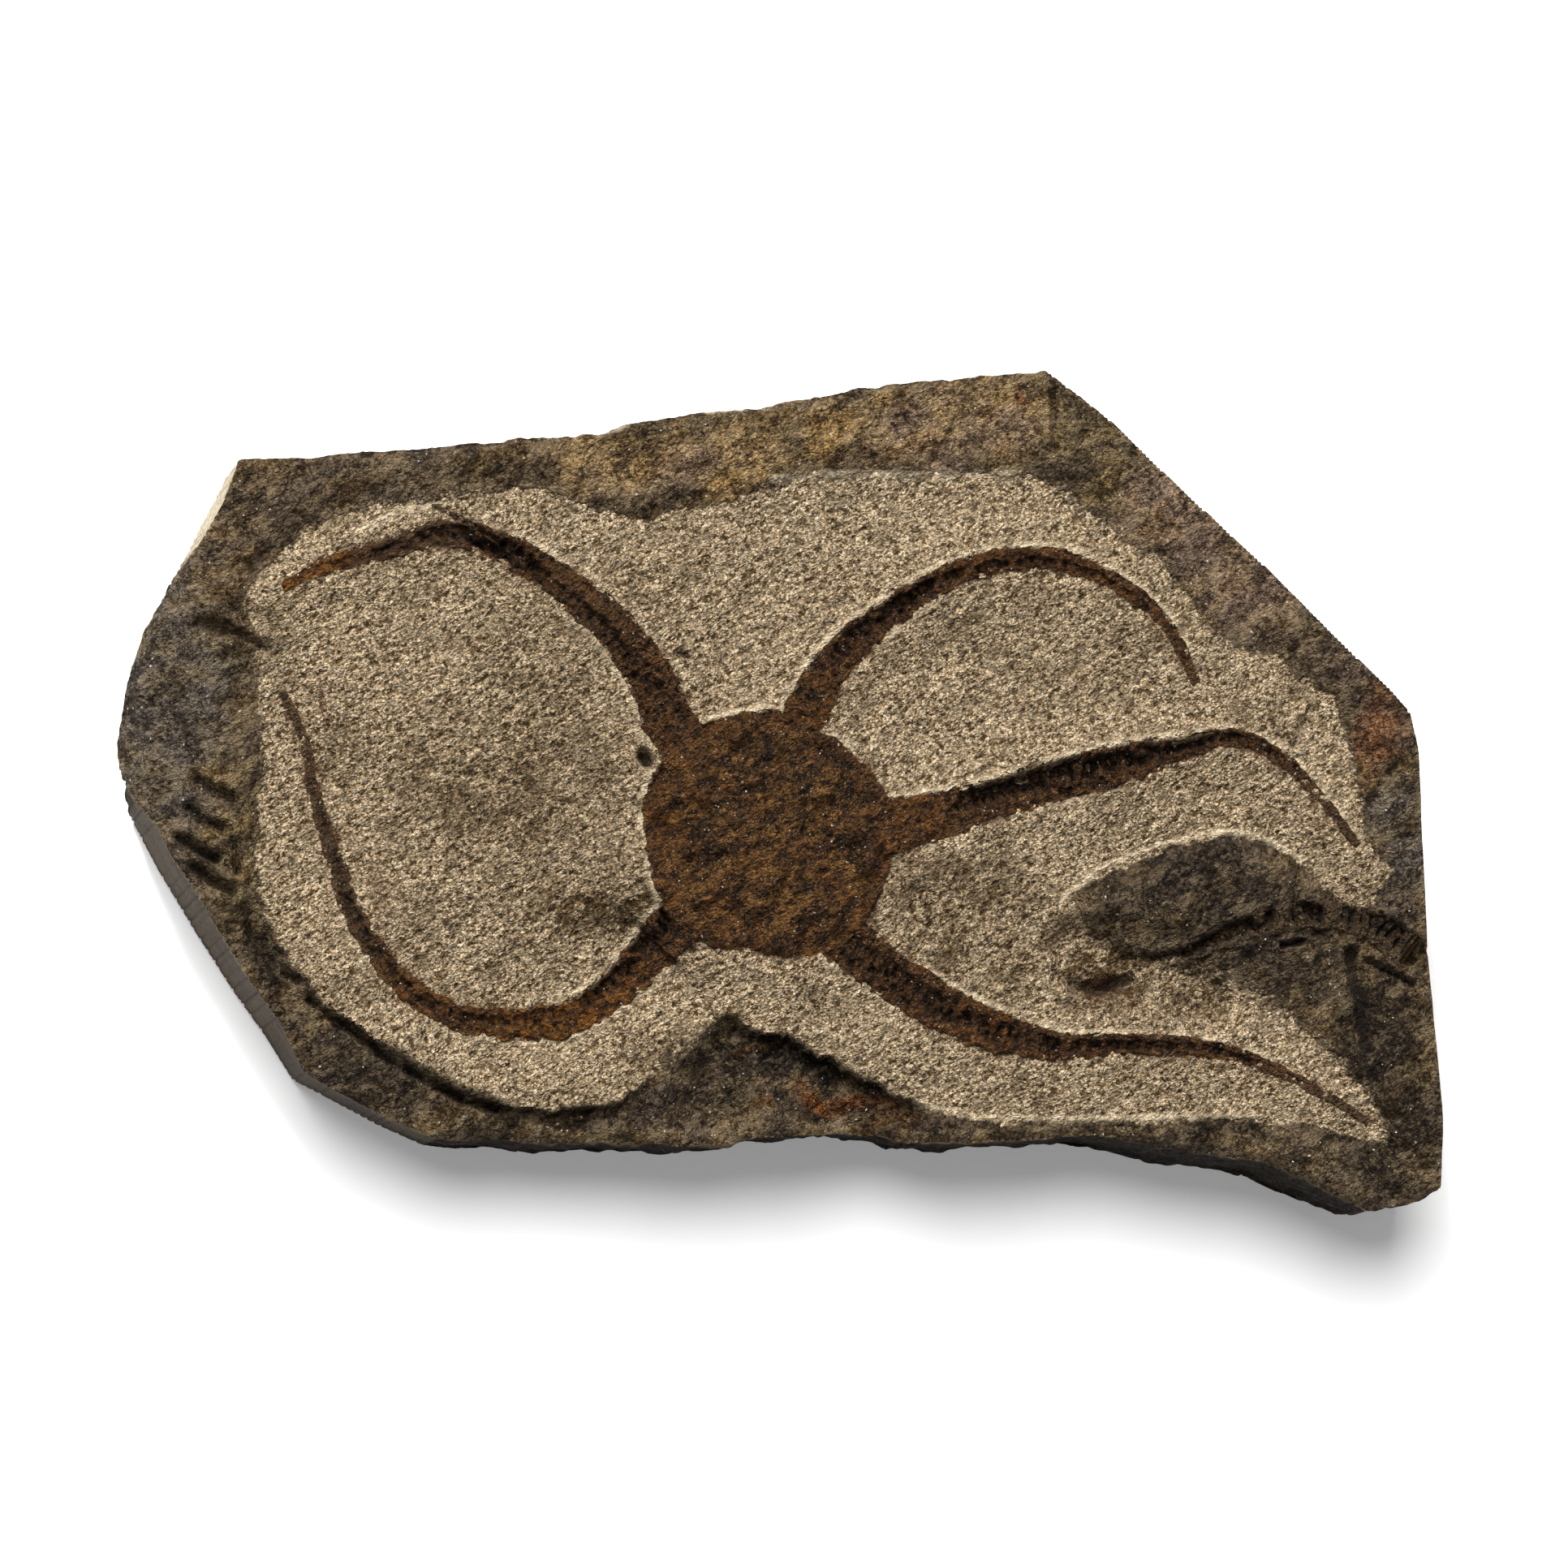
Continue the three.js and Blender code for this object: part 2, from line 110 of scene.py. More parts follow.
# The edge of the cleared stone, anticlockwise.
CLEARED_EDGE = [
    (-57.8, 17.8), (-56.0, 13.5), (-56.3, 8.0), (-55.3, 2.4), (-56.2, -6.5),
    (-55.6, -14.2), (-52.1, -20.0), (-48.4, -24.3), (-43.8, -27.9), (-37.2, -32.2),
    (-31.0, -34.3), (-24.5, -34.6), (-17.9, -33.8), (-13.0, -29.6), (-9.1, -25.4),
    (-6.0, -24.6), (-1.4, -26.4), (6.3, -30.2), (14.1, -33.5), (19.8, -35.4),
    (28.5, -35.6), (41.7, -35.2), (50.0, -34.9), (59.4, -36.3), (64.5, -37.5),
    (62.1, -32.2), (58.5, -27.9), (54.1, -24.0), (48.8, -20.6), (43.5, -18.9),
    (37.4, -16.8), (32.1, -14.7), (29.7, -12.0), (33.0, -9.4), (40.2, -6.3),
    (47.0, -4.7), (51.2, -5.2), (56.0, -7.9), (59.5, -11.6), (62.5, -12.5),
    (65.4, -8.6), (61.8, -4.5), (61.5, 2.7), (58.9, 10.4), (52.0, 14.5),
    (46.4, 16.3), (43.3, 20.4), (39.2, 25.1), (33.2, 28.6), (27.4, 33.1),
    (13.5, 33.0), (2.3, 32.5), (-7.8, 29.3), (-15.1, 27.7), (-20.7, 28.6),
    (-26.5, 30.8), (-37.5, 29.8), (-44.8, 28.2), (-51.6, 25.6), (-56.3, 21.2),
]

# Places where the face lies off its usual level: a path, a reach either side of it, a
# rise, and whether it cuts into the cleared stone as well or stops at its edge.
SWELLS = [
    # broken rim, lower left
    ([(-58, -20), (-51, -28), (-43, -34.5), (-30, -38), (-19, -38)], 8.5, -1.9, False),
    # broken hollow, bottom
    ([(-8, -34), (-4, -28), (2, -31), (10, -36)], 6.0, -2.8, False),
    # crust island at the right, and the trough dug below it
    ([(35, -10), (44, -8.5), (52, -9.5)], 6.0, 0.5, False),
    ([(31, -17.5), (38, -20), (45, -22.5)], 4.5, -1.5, True),
    # crust at the lower right corner
    ([(60, -25), (66, -34)], 8.0, 0.6, False),
    # the cleared stone falls towards the arm at the lower left
    ([(-38, -20), (-27, -22.5), (-15, -18)], 7.0, -0.7, True),
]
ROLL_START, ROLL_END = -57.0, -70.7  # the crust rolls over between these, along x
ROLL_DROP = 4.5

# Places where the cleared stone and the crust run into each other: x, y, reach, width.
SOFT_BORDERS = [
    (38, -20, 9, 2.4), (27, -18, 6, 1.5), (-38, 29, 9, 0.7), (-50, 24, 8, 0.9), (5, 33, 18, 0.9),
    (30, 30, 9, 0.8), (50, 14, 8, 1.0), (61, 0, 7, 0.7), (-57, 6, 9, 0.9), (-56, -12, 6, 0.6),
    (-11.5, -28.5, 4.5, 2.4), (47, -21, 9, 2.0), (55, -26, 8, 1.8), (60, -31, 6, 1.2),
]

# Darker patches on the cleared stone, partly grime and partly painted shade in its hollows and on slopes that
# face away from the light, such as the trough below the island: x, y, reach along x, reach along y, strength.
GRIME_AND_SHADE = [
    (-30, -2, 17, 13, 0.55), (-19, -13, 11, 7, 0.75), (-46, 4, 7, 9, 0.25), (21, -15, 12, 8, 0.85),
    (35, -19, 10, 5, 1.0), (44, -23, 8, 3, 0.8), (13, -11, 6, 5, 0.35), (33, 12, 10, 7, 0.2),
    (50, 8, 6, 5, 0.4), (-14, 21, 7, 3, 0.25), (-11, -21, 5, 3, 0.35), (-14, -29, 5, 4, 0.5),
    (-47, -22, 4, 3, 0.3), (-27, 13, 10, 6, 0.25),
]

# Rusty stains on the cleared stone: x, y, reach along x, reach along y, strength.
RUST_STAINS = [
    (34, -23.2, 6.5, 1.1, 0.5), (33.5, -21.4, 4.5, 1.5, 0.7), (-43.6, -12.5, 1.4, 5.5, 0.55),
    (-49.5, 7.6, 0.5, 3.2, 1.0),
    (-50.3, -2.0, 1.3, 6.0, 0.3), (41, 17, 3, 3, 0.35), (16, -8.6, 5, 1.4, 0.4), (57, -3, 2.5, 4, 0.3),
    (27, -33, 7, 1.5, 0.15), (-8.5, 8.0, 1.5, 1.5, 0.4), (27, 20, 4, 1.2, 0.3), (60.5, -11.0, 2, 2, 0.3),
]

# Gouges left by tools and cracks, painted dark as shade in proportion to their depth: path, width, depth.
GOUGES = [
    ([(-62.2, 15.7), (-60.2, 15.2)], 1.3, 1.1),
    ([(-61.2, 15.5), (-58.4, 14.6), (-55.4, 13.3)], 0.7, 0.9),
    ([(-62.5, -0.6), (-60.6, -2.0), (-58.9, -2.7)], 0.8, 1.2),
    ([(-63.3, -3.6), (-61.9, -5.0), (-60.1, -5.8)], 0.8, 1.3),
    ([(-64.4, -6.7), (-62.4, -8.0), (-60.7, -9.0)], 0.85, 1.6),
    ([(-63.0, -9.8), (-61.0, -11.4), (-59.0, -12.4)], 0.8, 1.3),
    ([(-58.6, -7.2), (-58.2, -10.4)], 0.6, 0.9),
    ([(-37.9, 28.5), (-35.3, 27.2), (-33.2, 26.2), (-30.6, 24.6)], 0.28, 0.6),
    ([(28.5, 42.2), (28.9, 36.4)], 0.6, 0.7),
    ([(44.6, 24.6), (45.6, 20.2)], 0.6, 0.6),
    ([(56.8, 8.8), (54.6, 4.9)], 0.7, 0.6),
    ([(60.9, -17.6), (61.6, -22.2), (62.4, -27.4)], 1.1, 1.5),
    ([(-15.6, 2.5), (-15.2, 1.8)], 0.9, 2.0),
    ([(-11.7, 13.6), (-10.9, 13.1)], 0.5, 0.9),
    ([(-55.3, -17.6), (-54.7, -20.1)], 0.9, 0.8),
    ([(-57.0, -16.0), (-56.2, -18.3)], 0.7, 1.0),
    ([(36.5, -17.9), (40.0, -18.0), (43.4, -17.6)], 0.5, 0.7),
    ([(53.2, -16.7), (55.4, -16.3)], 0.45, 1.0),
    ([(30.6, -21.0), (33.6, -21.6), (36.8, -20.6)], 1.0, 1.2),
    ([(62.5, -18.2), (65.0, -19.4), (67.4, -20.6)], 0.5, 1.2),
    ([(-55.5, -19.0), (-53.6, -20.6), (-52.0, -21.6)], 0.6, 0.9),
    # A dark crack along the foot of the ledge at the lower left, painted black as the ledge's shadow.
    ([(-50.8, -23.5), (-47.0, -26.0), (-43.2, -28.7)], 0.5, 1.1),
    ([(-43.2, -28.7), (-39.0, -31.1), (-35.3, -33.1), (-31.0, -34.6)], 0.85, 1.5),
]

# Low crests where the tool left a clean pale line, partly the fresh stone's colour and partly painted
# highlight where the crest meets the light: path, half width, rise.
PALE_AND_LIT_CRESTS = [
    ([(29.4, -11.8), (33.0, -9.0), (40.2, -5.9), (47.0, -4.4), (51.2, -4.9), (56.0, -7.6)], 0.2, 0.15),
    ([(13.6, -33.6), (19.8, -35.2), (28.5, -35.4), (41.7, -35.0), (50.0, -34.7)], 0.2, 0.15),
    ([(-46.1, 25.7), (-41.8, 27.8), (-37.5, 28.7)], 0.3, 0.2),
    ([(-2.0, 32.4), (6.0, 33.2), (14.0, 33.2), (25.0, 33.6)], 0.3, 0.12),
    ([(-20.5, 36.8), (-17.6, 37.7)], 0.25, 0.0),
    ([(-9.1, 39.3), (-1.7, 40.2)], 0.2, 0.0),
]

# ---- the star, in millimetres ---------------------------------------------------------

DISC_EDGE = [
    (-1.3, 7.6), (-5.3, 7.1), (-10.1, 5.7), (-14.4, 1.4), (-15.7, -3.3), (-15.4, -7.0),
    (-14.1, -12.2), (-9.4, -17.2), (-4.9, -17.9), (2.6, -18.6), (7.0, -15.8),
    (9.2, -12.8), (10.6, -8.5), (10.2, -1.2), (8.3, 1.6), (4.7, 4.6),
]
DISC_CENTRE = (-2.6, -5.5)
DISC_RISE = 0.9
DISC_REACH = 14.8  # half the side of the square that the disc is cut from
ARM_SKIRT = 1.16  # how far past its edge an arm dips into the stone, in half widths
STAR_REACH = 12  # beyond this an arm has no say in the stone around it

# Each arm from the disc outwards. line: x, y, half width. ridge: how far the stone
# stands up against it. furrow: share along, place across (1 is the left edge as one
# goes outwards), half width, depth, height of the ribs; the furrow is painted black as
# shade. rust and veil, a dusty film of stone: from, to, strength. the pale rim: side,
# from, to, strength of the pale stone along the arm's edge, partly the stone's own pale
# colour and partly painted highlight on the side that faces the light.
ARMS = {
    "arm_upper_left": dict(
        line=[
            (-8.5, -0.5, 2.9), (-12.3, 5.0, 2.9), (-15.0, 10.9, 2.5), (-19.5, 16.6, 2.2),
            (-25.4, 21.3, 1.9), (-31.3, 24.5, 1.6), (-36.8, 25.7, 1.3), (-42.8, 23.8, 1.1),
            (-49.3, 21.9, 0.8), (-54.4, 19.4, 0.5),
        ],
        ridge=0.7,
        rim=[(-1, 0.42, 0.6, 0.9), (1, 0.0, 0.42, 0.6), (-1, 0.25, 0.4, 0.4)],
        furrow=[
            (0.0, 0.0, 0.5, 0.2, 0.1), (0.15, -0.2, 0.5, 0.5, 0.15), (0.3, 0.35, 0.4, 0.8, 0.2),
            (0.45, 0.4, 0.4, 0.7, 0.2), (0.55, 0.1, 0.7, 1.2, 0.15), (0.62, 0.0, 0.8, 1.3, 0.12),
            (0.7, -0.2, 0.5, 0.7, 0.08), (0.85, 0.0, 0.5, 0.5, 0.06), (1.0, 0.0, 0.5, 0.1, 0.03),
        ],
        rust=[(0.86, 1.05, 1.0), (0.35, 0.5, 0.25)],
        veil=[(0.34, 0.48, 0.3), (0.64, 0.84, 0.5)],
    ),
    "arm_upper_right": dict(
        line=[
            (-1.0, 1.0, 2.8), (1.5, 6.8, 2.6), (5.1, 13.2, 2.1), (10.7, 18.1, 1.6),
            (17.4, 22.3, 1.35), (24.2, 24.2, 1.3), (29.7, 24.1, 1.15), (36.1, 21.3, 0.95),
            (40.5, 17.7, 0.7), (44.2, 10.7, 0.45),
        ],
        ridge=1.0,
        rim=[(1, 0.0, 0.95, 1.0), (-1, 0.2, 0.45, 0.4)],
        furrow=[
            (0.0, 0.0, 0.5, 0.2, 0.08), (0.18, 0.0, 0.5, 0.25, 0.1), (0.28, 0.35, 0.5, 1.2, 0.25),
            (0.42, 0.1, 0.55, 1.1, 0.25), (0.52, -0.25, 0.4, 0.6, 0.15), (0.8, -0.2, 0.35, 0.35, 0.1),
            (1.0, 0.0, 0.5, 0.1, 0.03),
        ],
        rust=[(0.0, 0.16, 0.35), (0.5, 0.8, 0.35)],
        veil=[(0.97, 1.1, 0.5)],
    ),
    "arm_right": dict(
        line=[
            (4.0, -6.0, 3.2), (9.7, -4.7, 3.1), (15.0, -3.6, 2.6), (21.7, -1.5, 2.1),
            (29.9, 0.9, 2.3), (38.0, 3.1, 1.95), (42.9, 4.5, 1.2), (48.3, 5.4, 0.9),
            (53.5, 3.1, 0.75), (58.0, -1.5, 0.55), (61.8, -6.3, 0.4),
        ],
        ridge=1.1,
        rim=[(1, 0.0, 0.9, 0.9), (-1, 0.3, 0.5, 0.4), (1, 0.75, 1.0, 0.6)],
        furrow=[
            (0.0, 0.0, 0.5, 0.2, 0.1), (0.2, 0.1, 0.5, 0.3, 0.12), (0.27, 0.35, 0.6, 1.5, 0.25),
            (0.45, 0.3, 0.7, 1.9, 0.35), (0.6, 0.25, 0.75, 1.7, 0.35), (0.7, 0.1, 0.7, 0.8, 0.15),
            (1.0, 0.0, 0.5, 0.2, 0.04),
        ],
        rust=[(0.06, 0.2, 0.4)],
        veil=[(0.85, 1.1, 0.6)],
    ),
    "arm_lower_right": dict(
        line=[
            (0.5, -12.0, 3.0), (5.4, -16.4, 2.9), (10.9, -20.4, 2.5), (17.3, -24.3, 2.45),
            (22.4, -26.3, 2.2), (28.7, -27.7, 1.55), (35.8, -27.5, 1.1), (44.8, -27.8, 0.9),
            (52.6, -30.0, 0.65), (63.0, -35.7, 0.4),
        ],
        ridge=0.6,
        rim=[(1, 0.22, 0.8, 1.0), (-1, 0.0, 0.22, 0.8), (1, 0.0, 0.1, 0.6)],
        furrow=[
            (0.0, 0.0, 0.5, 0.3, 0.1), (0.12, -0.15, 0.6, 0.7, 0.15), (0.3, 0.1, 0.6, 0.8, 0.18),
            (0.5, 0.0, 0.6, 0.8, 0.15), (0.75, 0.0, 0.5, 0.6, 0.1), (1.0, 0.0, 0.5, 0.1, 0.03),
        ],
        rust=[(0.02, 0.1, 0.5), (0.3, 0.4, 0.3)],
        veil=[(0.85, 1.1, 0.7)],
    ),
    "arm_lower_left": dict(
        line=[
            (-6.5, -10.0, 3.2), (-11.1, -14.4, 3.1), (-16.8, -20.4, 2.1), (-22.3, -24.7, 1.9),
            (-28.4, -25.9, 1.7), (-35.8, -24.9, 1.4), (-41.5, -21.1, 1.25), (-46.0, -14.8, 1.05),
            (-48.3, -8.1, 0.9), (-50.1, -2.6, 0.7), (-51.6, 4.1, 0.55), (-54.0, 9.2, 0.4),
        ],
        ridge=-0.4,
        rim=[(-1, 0.0, 0.3, 0.8), (1, 0.15, 0.45, 0.5), (1, 0.55, 0.8, 0.3)],
        furrow=[
            (0.0, -0.2, 0.5, 0.3, 0.1), (0.1, -0.45, 0.45, 1.2, 0.3), (0.22, -0.45, 0.45, 1.3, 0.35),
            (0.3, -0.5, 0.4, 0.7, 0.2), (0.45, -0.1, 0.5, 0.6, 0.1), (0.7, 0.0, 0.6, 0.7, 0.1),
            (1.0, 0.0, 0.5, 0.1, 0.03),
        ],
        rust=[(0.2, 0.42, 0.9), (0.42, 0.6, 0.35)],
        veil=[(0.62, 1.1, 0.7)],
    ),
    "stray_arm": dict(
        line=[
            (43.0, -17.4, 0.9), (48.0, -15.2, 1.4), (55.1, -13.4, 1.5), (60.0, -13.6, 1.5),
            (63.8, -14.6, 1.9), (67.5, -17.2, 2.1),
        ],
        ridge=0.0,
        rim=[],
        furrow=[
            (0.0, 0.0, 1.1, 2.2, 0.3), (0.2, 0.3, 1.1, 2.4, 0.5), (0.34, 0.5, 1.0, 2.4, 0.6),
            (0.4, 0.3, 0.6, 0.3, 0.1), (0.43, 0.1, 0.6, 0.2, 0.1), (0.48, 0.1, 0.9, 1.7, 0.4),
            (0.58, 0.1, 0.9, 1.5, 0.4), (0.62, 0.0, 0.5, 0.2, 0.1), (0.7, 0.3, 0.8, 1.2, 0.8),
            (0.93, 0.3, 0.8, 1.2, 0.8), (1.0, 0.2, 0.6, 0.3, 0.2),
        ],
        rust=[],
        veil=[(-1, 2, 1.0)],
    ),
}
RIB_SPACING = 1.1  # one rib to each plate of the arm

# Small deep holes in the arms, painted black as shade: x, y, radius, depth.
PITS = [
    (-33.2, 24.2, 0.9, 0.9), (-30.2, 23.0, 0.7, 0.9), (-28.9, 23.9, 0.8, 1.1), (-27.4, 22.4, 0.6, 0.8),
    (-10.6, 8.3, 0.9, 0.9), (-11.7, 9.7, 0.7, 0.7), (8.0, 16.0, 0.5, 0.7), (10.2, 17.4, 0.5, 0.7),
    (11.9, 18.3, 0.5, 0.8), (13.2, 19.2, 0.5, 0.6), (25.0, 0.7, 0.9, 1.2), (8.8, -19.8, 0.5, 0.8),
    (29.0, -0.6, 0.35, 0.6), (30.1, -0.3, 0.35, 0.5), (31.2, 0.1, 0.35, 0.6), (32.3, 0.4, 0.35, 0.5),
    (33.5, 0.8, 0.35, 0.6), (34.7, 1.1, 0.3, 0.5), (-6.9, 2.4, 0.8, 0.9), (-8.6, 0.6, 0.6, 0.7),
    (10.5, -20.2, 0.5, 0.8), (16.2, -22.9, 0.5, 0.8), (17.2, -24.3, 0.6, 0.9), (19.0, -24.6, 0.6, 1.0),
]

# Stains on the crust, from a short palette of weathered stone: x, y, reach along x,
# reach along y, colour, strength. The blackest colour is dark crust, and in the hollow
# at the bottom it is painted shade as well.
SLATE, DRAB, OLIVE, STRAW = "#857c70", "#937f66", "#a48f68", "#d3b27e"
ROSE, BRICK, RUST, UMBER = "#c2a587", "#a37150", "#9d452a", "#6c4b21"
OCHRE, BARK, LOAM, PEAT, BLACK_AND_SHADE = "#8f5522", "#63564a", "#51463a", "#3c3228", "#1b1612"
CRUST_STAINS = [
    # left and top
    (-66, 9, 9, 14, SLATE, 0.9), (-60, 24, 9, 8, DRAB, 0.6), (-64, -1, 4, 7, SLATE, 0.6),
    (-59, -6, 5, 10, OLIVE, 0.8), (-60.5, 14, 3.2, 1.6, OLIVE, 0.6), (-48, 31, 14, 5, DRAB, 0.7),
    (-27, 33, 12, 5, DRAB, 0.7), (-20, 34, 6, 4, STRAW, 0.8), (-8, 34, 10, 5, STRAW, 1.0),
    (-12, 33, 5, 4, ROSE, 0.6), (6, 38, 7, 5, STRAW, 0.8), (14, 38, 6, 6, ROSE, 0.8),
    (23, 40, 9, 5, STRAW, 1.0), (22, 37, 7, 3, ROSE, 0.7), (25.0, 42.2, 0.7, 1.2, RUST, 1.0),
    # right
    (33, 36, 5, 5, OLIVE, 0.8), (42, 29, 9, 7, ROSE, 0.8), (50, 22, 8, 6, ROSE, 0.9),
    (60, 14, 6, 5, DRAB, 0.8), (64.3, 6, 3.2, 7, BRICK, 0.85), (66, -5, 4, 7, SLATE, 0.9),
    (66, -14, 4, 6, BARK, 0.9), (43, -9, 14, 6, LOAM, 0.9), (54, -14, 12, 5, LOAM, 0.9),
    (48, -20, 12, 6, LOAM, 0.9), (64, -26, 7, 9, PEAT, 0.9), (52, -32, 12, 4, PEAT, 0.9),
    (64, -36, 8, 6, BLACK_AND_SHADE, 0.7), (64, -40.5, 3.5, 1.6, BLACK_AND_SHADE, 0.8), (66, -43, 5, 2, PEAT, 0.6),
    # bottom and lower left
    (-45, -32, 12, 5, LOAM, 0.9), (-25, -36, 12, 3, LOAM, 0.9), (-12, -34, 6, 3, BARK, 0.8),
    (-4, -28, 6, 3.2, BLACK_AND_SHADE, 1.0), (2, -30, 7, 2.6, BLACK_AND_SHADE, 1.0), (10, -33, 7, 2.6, BLACK_AND_SHADE, 0.9),
    (-7.5, -31, 5, 3, BARK, 0.9), (-1, -35, 7, 2.2, LOAM, 0.8), (20, -36.5, 14, 1.6, PEAT, 0.8),
    (42, -37, 12, 1.8, PEAT, 0.8), (5.3, -33.4, 5, 1.5, OCHRE, 1.0), (-1, -35.9, 2.4, 1.6, UMBER, 0.9),
    (12, -36.2, 5, 1.6, UMBER, 0.9), (-3.8, -27.8, 3, 1.0, UMBER, 0.7), (10, -34.7, 3, 0.8, OCHRE, 0.6),
    (-55, -19, 2.5, 3, BLACK_AND_SHADE, 0.8), (-55, -24, 4, 5, LOAM, 0.7),
]
CRUST_COLOUR = "#8a785c"

# Colours of the walls, from place to place: x, y, colour. The cream on the upper left wall, which faces the
# lamps, is painted light; the dusk, the dark brown and the mud on the walls that face left and down are
# painted shade.
LIT_CREAM, SAND, TAWNY, SHADED_DUSK, SHADED_MUD = "#c4b89f", "#9b8e77", "#998468", "#4a4035", "#221a11"
WALL_TINTS = [
    (-61, 28, LIT_CREAM), (-67, 15, SHADED_DUSK), (-70, 6, SHADED_DUSK), (-69.5, -2, SHADED_DUSK), (-64, -10, SHADED_DUSK),
    (-57, -21, SHADED_DUSK), (-51, -31, "#3d3124"), (-42, -36, SHADED_MUD), (-20, -38, SHADED_MUD), (10, -37, SHADED_MUD),
    (40, -38, SHADED_MUD), (60, -43, SHADED_MUD), (70.6, -35, "#857862"), (69, -5, SAND), (66, 11, SAND),
    (50, 26, SAND), (31, 42, SAND), (20, 44, TAWNY), (-5, 40, TAWNY), (-30, 35.5, TAWNY),
    (-50, 34, TAWNY),
]


# ---- the stage: which way the light comes from, and where the camera looks ---------------

KEY_FROM, RAKE_FROM = (-0.18, 0.44, 0.88), (-0.28, 0.77, 0.57)
CAMERA_TARGET = (-0.7, -0.24, 17.0)  # millimetres
CAMERA_LEAN = (-0.16, -0.10)  # how far the camera leans off the upright, along x and y
CAMERA_LENS = 152.1


# ---- plain mathematics ----------------------------------------------------------------


def smooth(low, high, value):
    """0 below low, 1 above high, and an even curve between them."""
    t = np.clip((value - low) / (high - low), 0, 1)
    return t * t * (3 - 2 * t)


def chance(iu, iv, seed):
    """An even random number from 0 to 1 for each whole place."""
    mixed = (iu * 374761393 + iv * 668265263 + seed * 144269504) & 0xFFFFFFFF
    mixed = ((mixed ^ (mixed >> 13)) * 1274126177) & 0xFFFFFFFF
    return (mixed ^ (mixed >> 16)) / 0xFFFFFFFF


def bumps(x, y, size, seed):
    """Even random bumps about `size` across, from -1 to 1 (gradient noise)."""
    u, v = x / size, y / size
    iu, iv = np.floor(u).astype(np.int64), np.floor(v).astype(np.int64)
    fu, fv = u - iu, v - iv

    def corner(du, dv):
        turn = 2 * math.pi * chance(iu + du, iv + dv, seed)
        return np.cos(turn) * (fu - du) + np.sin(turn) * (fv - dv)

    wu = fu * fu * fu * (fu * (fu * 6 - 15) + 10)
    wv = fv * fv * fv * (fv * (fv * 6 - 15) + 10)
    low = corner(0, 0) * (1 - wu) + corner(1, 0) * wu
    high = corner(0, 1) * (1 - wu) + corner(1, 1) * wu
    return 1.5 * (low * (1 - wv) + high * wv)


def chips(x, y, size, seed):
    """Flat chips about `size` across, each tilted its own way, from -1 to 1."""
    shake_x, shake_y = (0.2 * size * bumps(x, y, 0.6 * size, seed + extra) for extra in (5, 6))
    u, v = (x + shake_x) / size, (y + shake_y) / size
    iu, iv = np.floor(u).astype(np.int64), np.floor(v).astype(np.int64)
    nearest = np.full(x.shape, np.inf)
    height = np.zeros_like(x)
    for du in (-1, 0, 1):
        for dv in (-1, 0, 1):
            ax = u - iu - du - chance(iu + du, iv + dv, seed)
            ay = v - iv - dv - chance(iu + du, iv + dv, seed + 1)
            turn = 2 * math.pi * chance(iu + du, iv + dv, seed + 2)
            level = 1.2 * chance(iu + du, iv + dv, seed + 3) - 0.6
            away = ax * ax + ay * ay
            height = np.where(away < nearest, level + np.cos(turn) * ax + np.sin(turn) * ay, height)
            nearest = np.minimum(nearest, away)
    return height


def rough(x, y, size, octaves, seed):
    """Bumps with finer bumps on them."""
    total = np.zeros_like(x)
    for octave in range(octaves):
        turn = 0.7 + 1.3 * octave
        tx = x * math.cos(turn) - y * math.sin(turn)
        ty = x * math.sin(turn) + y * math.cos(turn)
        total += 0.55**octave * bumps(tx, ty, size * 0.5**octave, seed + octave)
    return total


def warped(x, y, reach, size, seed):
    """The points, each pushed off its place, so that what is drawn there gets ragged."""
    return x + reach * rough(x, y, size, 4, seed), y + reach * rough(x, y, size, 4, seed + 10)


def between(start, end, fade, value):
    """1 between two values, and an even fade over each of them."""
    return smooth(start - fade, start + fade, value) * (1 - smooth(end - fade, end + fade, value))


def patches(x, y, places, ragged=1.0):
    """How strongly each point is covered by a list of ragged elliptical patches."""
    wx, wy = warped(x, y, ragged, 4.0, 231)
    cover = np.zeros_like(x)
    for px, py, rx, ry, strength in places:
        away = np.hypot((wx - px) / rx, (wy - py) / ry)
        cover = np.maximum(cover, strength * (1 - smooth(0.3, 1.15, away)))
    return cover


def nearest_on(x, y, start, end):
    """For each point, the nearest place on a straight stretch, as a share of its length,
    and how far away that is."""
    (ax, ay), (bx, by) = start, end
    share = ((x - ax) * (bx - ax) + (y - ay) * (by - ay)) / ((bx - ax) ** 2 + (by - ay) ** 2)
    share = np.clip(share, 0, 1)
    return share, np.hypot(x - ax - share * (bx - ax), y - ay - share * (by - ay))


def path_distance(x, y, path, closed=False):
    """How far each point is from a path of straight stretches."""
    best = np.full(x.shape, np.inf)
    for start, end in zip(path, path[1:] + path[:1] if closed else path[1:]):
        best = np.minimum(best, nearest_on(x, y, start, end)[1])
    return best


def loop_distance(x, y, loop):
    """How far each point is outside a loop, negative inside it."""
    inside = np.zeros(x.shape, bool)
    for (ax, ay), (bx, by) in zip(loop, loop[1:] + loop[:1]):
        if ay != by:
            crosses = ((ay > y) != (by > y)) & (x < (bx - ax) * (y - ay) / (by - ay) + ax)
            inside ^= crosses
    distance = path_distance(x, y, loop, closed=True)
    return np.where(inside, -distance, distance)


